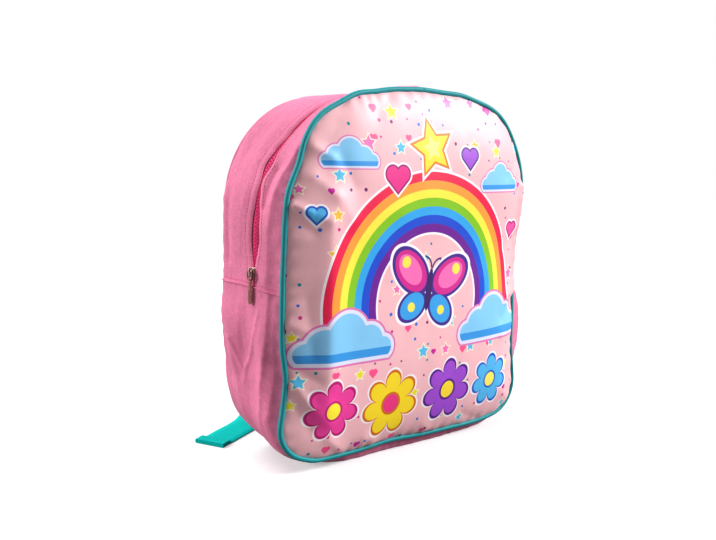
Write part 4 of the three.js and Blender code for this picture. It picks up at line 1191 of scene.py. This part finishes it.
def route_stations(rows, per_leg):
    """Stations along a route of x, y, z, turn in degrees, thickness, on a smooth curve through its rows."""
    rows = np.array(rows, float)
    points = rows[:, :3]
    knots = np.concatenate(([0], np.cumsum(np.linalg.norm(np.diff(points, axis=0), axis=1) ** 0.5)))
    shares = np.linspace(0, len(rows) - 1, (len(rows) - 1) * per_leg + 1)
    where = np.interp(shares, np.arange(len(rows)), knots)
    line = through(knots, points, where)
    turn = np.radians(np.interp(shares, np.arange(len(rows)), rows[:, 3]))
    thick = np.interp(shares, np.arange(len(rows)), rows[:, 4])
    across = np.stack([np.cos(turn), np.sin(turn), 0 * turn], axis=1)
    return line, across, thick


def strip(name, line, across, thick, width, material, node):
    """Flat webbing along a line, with rounded edges."""
    tangents = unit(np.gradient(line, axis=0))
    normals = np.cross(tangents, square_to(tangents, across))
    half, low = width / 2, 0.5
    lower = [(-half + 0.5, -low), (-half * 0.5, -low), (0, -low), (half * 0.5, -low), (half - 0.5, -low),
             (half, -low * 0.4), (half, low * 0.4)]
    ring = np.array(lower + [(-x, -y) for x, y in lower])
    section = np.repeat(ring[None] * (-1, 1), len(line), axis=0)
    section[:, :, 1] *= thick[:, None]
    piece = swept(name, line, normals, section, False)
    set_uv(piece, strip_uv(length_along(line), ring[:, 0]))
    return wear(piece, material, node=node)


def pad_rows(side):
    """The pad's route: seated on the back at its top, and bowed away from it down to the lock."""
    on_back = max(back_face(PAD_TOP_X, z, PAD_WIDTH / 2 + 4) for z in (PAD_TOP_Z, PAD_TOP_Z - 14))
    seated = on_back + GAP + PAD_THICKNESS / 2
    bow, drop = LOCK_Y - seated, PAD_LENGTH
    table = [
        (PAD_TOP_X, seated, PAD_TOP_Z, 0.8), (PAD_TOP_X, seated + 0.4, PAD_TOP_Z - 14, 1),
        (PAD_TOP_X + 2, seated + bow * 0.34, PAD_TOP_Z - drop * 0.22, 1),
        (PAD_TOP_X + 5, seated + bow * 0.72, PAD_TOP_Z - drop * 0.42, 1),
        (LOCK_X - 5, seated + bow * 0.95, PAD_TOP_Z - drop * 0.66, 1),
        (LOCK_X - 1, LOCK_Y, PAD_TOP_Z - drop * 0.88, 1), (LOCK_X, LOCK_Y, PAD_END_Z, 1),
    ]
    return [(side * x, y, z, 0, thick * PAD_THICKNESS) for x, y, z, thick in table]


def pad_stations(side):
    """Stations down a pad, close together at its rounded ends: places, ways across and out, half widths to the
    middle of the binding, and thicknesses."""
    line, across, thick = route_stations(pad_rows(side), 14)
    way = length_along(line)
    share = way / way[-1]
    half = PAD_WIDTH / 2 * (0.74 + 0.26 * smooth(np.minimum(share, 1 - share) / 0.12)) - 2.6
    tangents = unit(np.gradient(line, axis=0))
    across = square_to(tangents, across)
    bend = np.linspace(0, math.pi / 2, 9)
    start, narrow = PAD_ROUND * (1 - np.cos(bend)), PAD_ROUND * (1 - np.sin(bend))
    between = np.arange(PAD_ROUND + 2, way[-1] - PAD_ROUND - 1, 2.2)
    places = np.concatenate((start, between, way[-1] - start[::-1]))
    narrow = np.concatenate((narrow, 0 * between, narrow[::-1]))
    thin = 1 - 0.45 * (narrow / PAD_ROUND) ** 2
    ways = [rows_at(places, way, rows) for rows in (line, across, np.cross(tangents, across))]
    return *ways, np.interp(places, way, half) - narrow, np.interp(places, way, thick) * thin


def round_edge(line, across, normals, half, inset=0.0):
    """Places round a pad's edge, and which way is out of it there."""
    reach = np.maximum(half - inset, 0.3)[:, None]
    clip = slice(3, -3) if inset else slice(None)
    loop = np.concatenate([(line + across * reach)[clip], (line - across * reach)[clip][::-1]])
    face = np.concatenate([normals[clip], normals[clip][::-1]])
    out = unit(np.cross(np.roll(loop, -1, axis=0) - np.roll(loop, 1, axis=0), face))
    return loop, out if (out * (loop - loop.mean(axis=0))).sum() > 0 else -out, face


SWELL_LIMIT = 1.1
SWELL_FRAMES = 20


def swell(piece, held):
    """Blows a cloth form up a little by simulation: its held vertices stay, and none moves past the limit."""
    start = [vertex.co.copy() for vertex in piece.data.vertices]
    group = piece.vertex_groups.new(name="seam")
    group.add([int(k) for k in np.flatnonzero(held)], 1.0, "REPLACE")
    take(piece)
    bpy.ops.object.modifier_add(type="CLOTH")
    cloth = piece.modifiers[-1].settings
    cloth.vertex_group_mass = "seam"
    cloth.use_pressure = True
    cloth.uniform_pressure_force = 4
    cloth.effector_weights.gravity = 0
    for now in range(1, SWELL_FRAMES + 1):
        bpy.context.scene.frame_set(now)
    bpy.ops.object.modifier_apply(modifier=piece.modifiers[-1].name)
    bpy.context.scene.frame_set(1)
    for vertex, was in zip(piece.data.vertices, start):
        move = vertex.co - was
        if move.length > SWELL_LIMIT * MM:
            vertex.co = was + move * (SWELL_LIMIT * MM / move.length)
    piece.vertex_groups.clear()


def lying_on(piece, places, face):
    """The places on a piece's surface straight above given ones inside it."""
    seated = []
    for place, out in zip(places, face):
        hit, at, _, _ = piece.ray_cast(Vector(place + out * 12) * MM, -Vector(out))
        seated.append(np.array(at) / MM if hit else place + out * 2)
    return np.array(seated)


def shoulder_pad(name, side):
    """A cushion of foam in cloth, swollen by a short simulation, with a bound edge and a row of stitches."""
    line, across, normals, half, thick = pad_stations(side)
    around = 24
    body = swept(f"{name}_cushion", line, normals, oval(len(line), around, half, thick * 0.33, 0.62), False)
    turn = np.tile(np.arange(around), len(line)) * 2 / around
    swell(body, np.abs(np.sin(turn * math.pi)) < 0.3)
    finish_with(body, "SUBSURF", levels=1, render_levels=1)
    set_pad_uv(body)
    wear(soften(body, 80), PINK, node=name)
    loop, out, _ = round_edge(line, across, normals, half)
    wear(swept(f"{name}_binding", loop, out, oval(len(loop), 10, 1.5, 2.1), True), PIPING)
    loop, _, face = round_edge(line, across, normals, half, PAD_STITCH_INSET)
    for label, hand in (("outer", 1), ("inner", -1)):
        row = lying_on(body, loop, face * hand)
        stitched(f"{name}_{label}_stitches", row, face * hand, PINK_THREAD, pitch=4, length=2.6)


def set_pad_uv(piece):
    """Flat coordinates down the pad and across it, for its weave."""
    co = np.zeros(len(piece.data.vertices) * 3)
    piece.data.vertices.foreach_get("co", co)
    co = co.reshape(-1, 3)
    set_uv(piece, np.stack([co[:, 2], co[:, 0]], axis=1))


def ladder_lock(name, side):
    """A frame with three bars: a block cut across, bridged through for its two slots, and rounded."""
    deselect()
    place = Vector((side * LOCK_X, LOCK_Y, LOCK_Z)) * MM
    size = Vector((LOCK_WIDTH, LOCK_THICKNESS, 2 * LOCK_HALF)) * MM
    bpy.ops.mesh.primitive_cube_add(size=1, location=place, scale=size)
    lock = settle(named(f"{name}_frame"))
    bar, open_half = LOCK_BAR / 2, LOCK_WIDTH / 2 - LOCK_SIDE
    for height in (bar, -bar, bar + LOCK_SLOT, -bar - LOCK_SLOT):
        cut_across(lock, (0, 0, (LOCK_Z + height) * MM), (0, 0, 1))
    for x in (-open_half, open_half):
        cut_across(lock, ((side * LOCK_X + x) * MM, 0, 0), (1, 0, 0))

    def in_slot(face):
        across, _, up = (face.center - place) / MM
        return abs(face.normal.y) > 0.9 and bar < abs(up) < bar + LOCK_SLOT and abs(across) < open_half - 1

    for upper in (True, False):
        bpy.ops.object.mode_set(mode="EDIT")
        bpy.ops.mesh.select_mode(type="FACE")
        bpy.ops.mesh.select_all(action="DESELECT")
        bpy.ops.object.mode_set(mode="OBJECT")
        for face in lock.data.polygons:
            face.select = in_slot(face) and (face.center.z > LOCK_Z * MM) == upper
        bpy.ops.object.mode_set(mode="EDIT")
        bpy.ops.mesh.bridge_edge_loops()
        bpy.ops.object.mode_set(mode="OBJECT")
    finish_with(lock, "BEVEL", width=0.8 * MM, segments=3, limit_method="ANGLE", angle_limit=math.radians(40))
    return wear(soften(lock, 40), LOCK_PLASTIC, node=name)


def cut_across(piece, place, normal):
    """Cuts a piece's faces along a plane, and keeps both sides."""
    edit_all(piece, bpy.ops.mesh.bisect, plane_co=place, plane_no=normal)


# Where the webbing's middle lies from the lock's: on its face, over another layer, and beside a bar
BAR_GAP = 0.4
LAY = LOCK_THICKNESS / 2 + BAR_GAP + WEB_THICKNESS / 2
LOAD_LAY = LAY + WEB_THICKNESS + 0.5
BESIDE_BAR = LOCK_BAR / 2 + BAR_GAP + WEB_THICKNESS / 2


def lock_loop(name, side):
    bar_low = LOCK_HALF - LOCK_BAR
    under = bar_low - BAR_GAP - WEB_THICKNESS / 2
    start = PAD_END_Z + 1.5 - LOCK_Z
    rows = [(LAY, start), (LAY, LOCK_HALF - 1), (LAY, bar_low + 0.6), (LAY * 0.72, under + 0.5), (0, under),
            (-LAY * 0.72, under + 0.5), (-LAY, bar_low + 0.6), (-LAY, LOCK_HALF - 1), (-LAY, start)]
    route = [(side * LOCK_X, LOCK_Y + lay, LOCK_Z + up, 0, WEB_THICKNESS) for lay, up in rows]
    return strip(f"{name}_webbing", *route_stations(route, 5), WEB_WIDTH, WEB, name)


# The strap's free end on the floor, and its seam on the back
FLOOR_HEADING = math.radians(27.5)
TAIL_REACH = BACK_WIDTH / 2 - 0.5
TAIL_END_Y = BACK_Y + 26
FLOOR_GAP = 0.2
ANCHOR_X = BACK_WIDTH / 2 - 50
ANCHOR_Z = BACK_FOOT + 15


def strap_rows(side):
    """The lower webbing's route: from its seam up to the lock, round the middle bar and down to the floor."""
    on_back = back_face(ANCHOR_X, ANCHOR_Z, WEB_WIDTH) + GAP + WEB_THICKNESS / 2
    flat, beside = WEB_THICKNESS, BESIDE_BAR

    def at_lock(lay, up, turn=0):
        return LOCK_X, LOCK_Y + lay, LOCK_Z + up, turn, flat

    def floor(back, lift, thick):
        x, y = TAIL_REACH - back * math.cos(FLOOR_HEADING), TAIL_END_Y + back * math.sin(FLOOR_HEADING)
        return x, y, lift, 90 - math.degrees(FLOOR_HEADING), thick

    resting, hem_resting = FLOOR_GAP + WEB_THICKNESS / 2, FLOOR_GAP + HEM_THICKNESS / 2
    hem, landing = 12, 84
    landing_y = TAIL_END_Y + landing * math.sin(FLOOR_HEADING)
    rows = [
        (ANCHOR_X + 6, on_back, ANCHOR_Z - 5, 0, flat), (ANCHOR_X, on_back + 0.2, ANCHOR_Z + 6, 0, flat),
        (ANCHOR_X - 5, on_back + 4, ANCHOR_Z + 16, 0, flat),
        (ANCHOR_X - 14, on_back + 20, ANCHOR_Z + 30, 0, flat),
        (LOCK_X + 2, LOCK_Y - LOAD_LAY - 9, LOCK_Z - LOCK_HALF - 22, 0, flat),
        at_lock(-LOAD_LAY - 1, -LOCK_HALF - 6), at_lock(-LOAD_LAY, -LOCK_HALF + LOCK_BAR / 2),
        at_lock(-LOAD_LAY + 0.1, -beside * 1.6), at_lock(-LAY - 0.9, 0.3), at_lock(-LAY * 0.75, beside * 0.85),
        at_lock(0, beside), at_lock(LAY * 0.75, beside * 0.85), at_lock(LAY, 0),
        at_lock(LAY * 0.75, -beside * 0.85), at_lock(0, -beside), at_lock(-LAY * 0.68, -beside * 1.32),
        at_lock(-LAY, -beside * 2.4), at_lock(-LAY, -LOCK_HALF + LOCK_BAR / 2),
        at_lock(-LAY + 0.3, -LOCK_HALF - 6, 3), at_lock(3, -LOCK_HALF - 24, 30),
        (LOCK_X - 1, landing_y + 4, 26, 56, flat), (LOCK_X + 2, landing_y + 2, 11, 62.5, flat),
        floor(landing - 13, 2.6, flat), floor(landing - 26, resting + 0.1, flat),
        floor(landing - 48, resting, flat), floor(hem + 2, resting, flat),
        floor(hem - 1, hem_resting, HEM_THICKNESS), floor(0, hem_resting, HEM_THICKNESS),
    ]
    return [(side * x, y, z, side * turn, thick) for x, y, z, turn, thick in rows]


def strap(name, side):
    line, across, thick = route_stations(strap_rows(side), 5)
    strip(f"{name}_webbing", line, across, thick, WEB_WIDTH, WEB, name)
    end = line[-1] + unit(line[-8] - line[-1]) * 5.58
    row = np.array([end + unit(across[-1]) * s for s in np.linspace(-13, 13, 14)])
    row[:, 2] = FLOOR_GAP + HEM_THICKNESS + 0.1
    up = np.tile((0.0, 0, 1), (len(row), 1))
    stitched(f"{name}_hem_stitches", row, up, TEAL_THREAD, pitch=3, length=2.1)


LOOP_HALF, LOOP_LIFT, LOOP_WIDTH = 33, 13, 22


def hanging_loop():
    """A bowed length of webbing, stitched down twice at each end."""
    z = BACK_TOP - 9 - LOOP_WIDTH / 2
    seat = back_face(0, z, LOOP_HALF) + GAP + WEB_THICKNESS / 2
    bow = ((-1, 0), (-0.7, 0.02), (-0.5, 0.3), (-0.26, 0.82), (0, 1))
    bow += tuple((-share, lift) for share, lift in bow[-2::-1])
    rows = [(share * LOOP_HALF, seat + lift * LOOP_LIFT, z, 0, WEB_THICKNESS) for share, lift in bow]
    line, _, thick = route_stations(rows, 6)
    across = np.tile((0.0, 0, 1), (len(line), 1))
    strip("hanging_loop_webbing", line, across, thick, LOOP_WIDTH, WEB, "hanging_loop")
    for side, label in ((-1, "left"), (1, "right")):
        for k, x in enumerate((25, 31)):
            row = np.array([(side * x, seat + 0.95, z + s) for s in np.linspace(-9, 9, 8)])
            out = np.tile((0.0, 1, 0), (len(row), 1))
            stitched(f"hanging_loop_{label}_stitches_{k}", row, out, TEAL_THREAD, pitch=2.6, length=1.9)


# The studio
def shown_to_camera(tree, lighting, seen, output):
    """Shows the camera one shader, and everything else the lighting one."""
    chosen, path = tree.nodes.new("ShaderNodeMixShader"), tree.nodes.new("ShaderNodeLightPath")
    made = path.outputs["Is Camera Ray"], lighting.outputs[0], seen.outputs[0]
    for slot, output_of in zip(chosen.inputs, made):
        tree.links.new(output_of, slot)
    tree.links.new(chosen.outputs[0], tree.nodes[output].inputs[0])


def studio_floor():
    deselect()
    bpy.ops.mesh.primitive_plane_add(size=1)
    floor = named("studio_floor")
    edit_all(floor, bpy.ops.transform.resize, value=(9, 6, 1))
    paper = bpy.data.materials.new("pale_paper")
    paper.use_nodes = True
    nodes, links = paper.node_tree.nodes, paper.node_tree.links
    lit, dim = nodes["Principled BSDF"], nodes.new("ShaderNodeBsdfDiffuse")
    glow, seen = nodes.new("ShaderNodeEmission"), nodes.new("ShaderNodeAddShader")
    lit.inputs["Base Color"].default_value = srgb(205, 205, 205)
    lit.inputs["Roughness"].default_value = 0.9
    dim.inputs["Color"].default_value = srgb(138, 138, 138)
    glow.inputs["Strength"].default_value = 0.42
    links.new(lit.outputs[0], seen.inputs[0])
    links.new(glow.outputs[0], seen.inputs[1])
    shown_to_camera(paper.node_tree, dim, seen, "Material Output")
    floor.data.materials.append(paper)


def studio_lights():
    world = bpy.data.worlds.new("studio_air")
    bpy.context.scene.world = world
    world.use_nodes = True
    soft, seen = world.node_tree.nodes["Background"], world.node_tree.nodes.new("ShaderNodeBackground")
    soft.inputs["Color"].default_value = (1.08, 0.88, 0.95, 1)
    soft.inputs["Strength"].default_value = 0.24
    seen.inputs["Color"].default_value = (1, 1, 1, 1)
    shown_to_camera(world.node_tree, soft, seen, "World Output")
    for name, towards, strength, angle in (
        ("key_light", (0.71, -0.51, 0.5), 4.6, 24),
        ("side_light", (-0.78, 0.56, 0.38), 2.65, 20),
        ("top_light", (-0.3, 0.45, 1), 2.2, 40),
    ):
        deselect()
        bpy.ops.object.light_add(type="SUN", location=Vector(towards) * 2)
        lamp = named(name)
        lamp.data.energy, lamp.data.angle = strength, math.radians(angle)
        lamp.rotation_euler = (-Vector(towards)).to_track_quat("-Z", "Y").to_euler()


def camera():
    """The photograph's own point of view, found from the outlines of the bag's front and back seams."""
    eye, ahead = Vector((-511.4, -589.5, 271.2)) * MM, Vector((0.624, 0.768, -0.143)).normalized()
    level = ahead.cross(Vector((0, 0, 1))).normalized()
    up = level.cross(ahead)
    c, s = math.cos(math.radians(1.7)), math.sin(math.radians(1.7))
    right, over = level * c + up * s, up * c - level * s
    deselect()
    bpy.ops.object.camera_add()
    made = named("photograph_view")
    made.matrix_world = Matrix.Translation(eye) @ Matrix((right, over, -ahead)).transposed().to_4x4()
    made.data.sensor_width, made.data.lens = 36, 42.84
    made.data.clip_start, made.data.clip_end = 0.01, 30
    bpy.context.scene.camera = made


bpy.context.scene.view_settings.view_transform = "Standard"
bpy.context.scene.view_settings.gamma = 0.86
camera()
studio_floor()
studio_lights()
front_panel()
piping()
lower_band()
zip_bands()
zip_chain()
join_seams()
zip_slider()
zip_pull()
back_panel()
hanging_loop()
for side, hand in ((-1, "left"), (1, "right")):
    shoulder_pad(f"shoulder_pad_{hand}", side)
    ladder_lock(f"ladder_lock_{hand}", side)
    lock_loop(f"lock_loop_{hand}", side)
    strap(f"strap_web_{hand}", side)
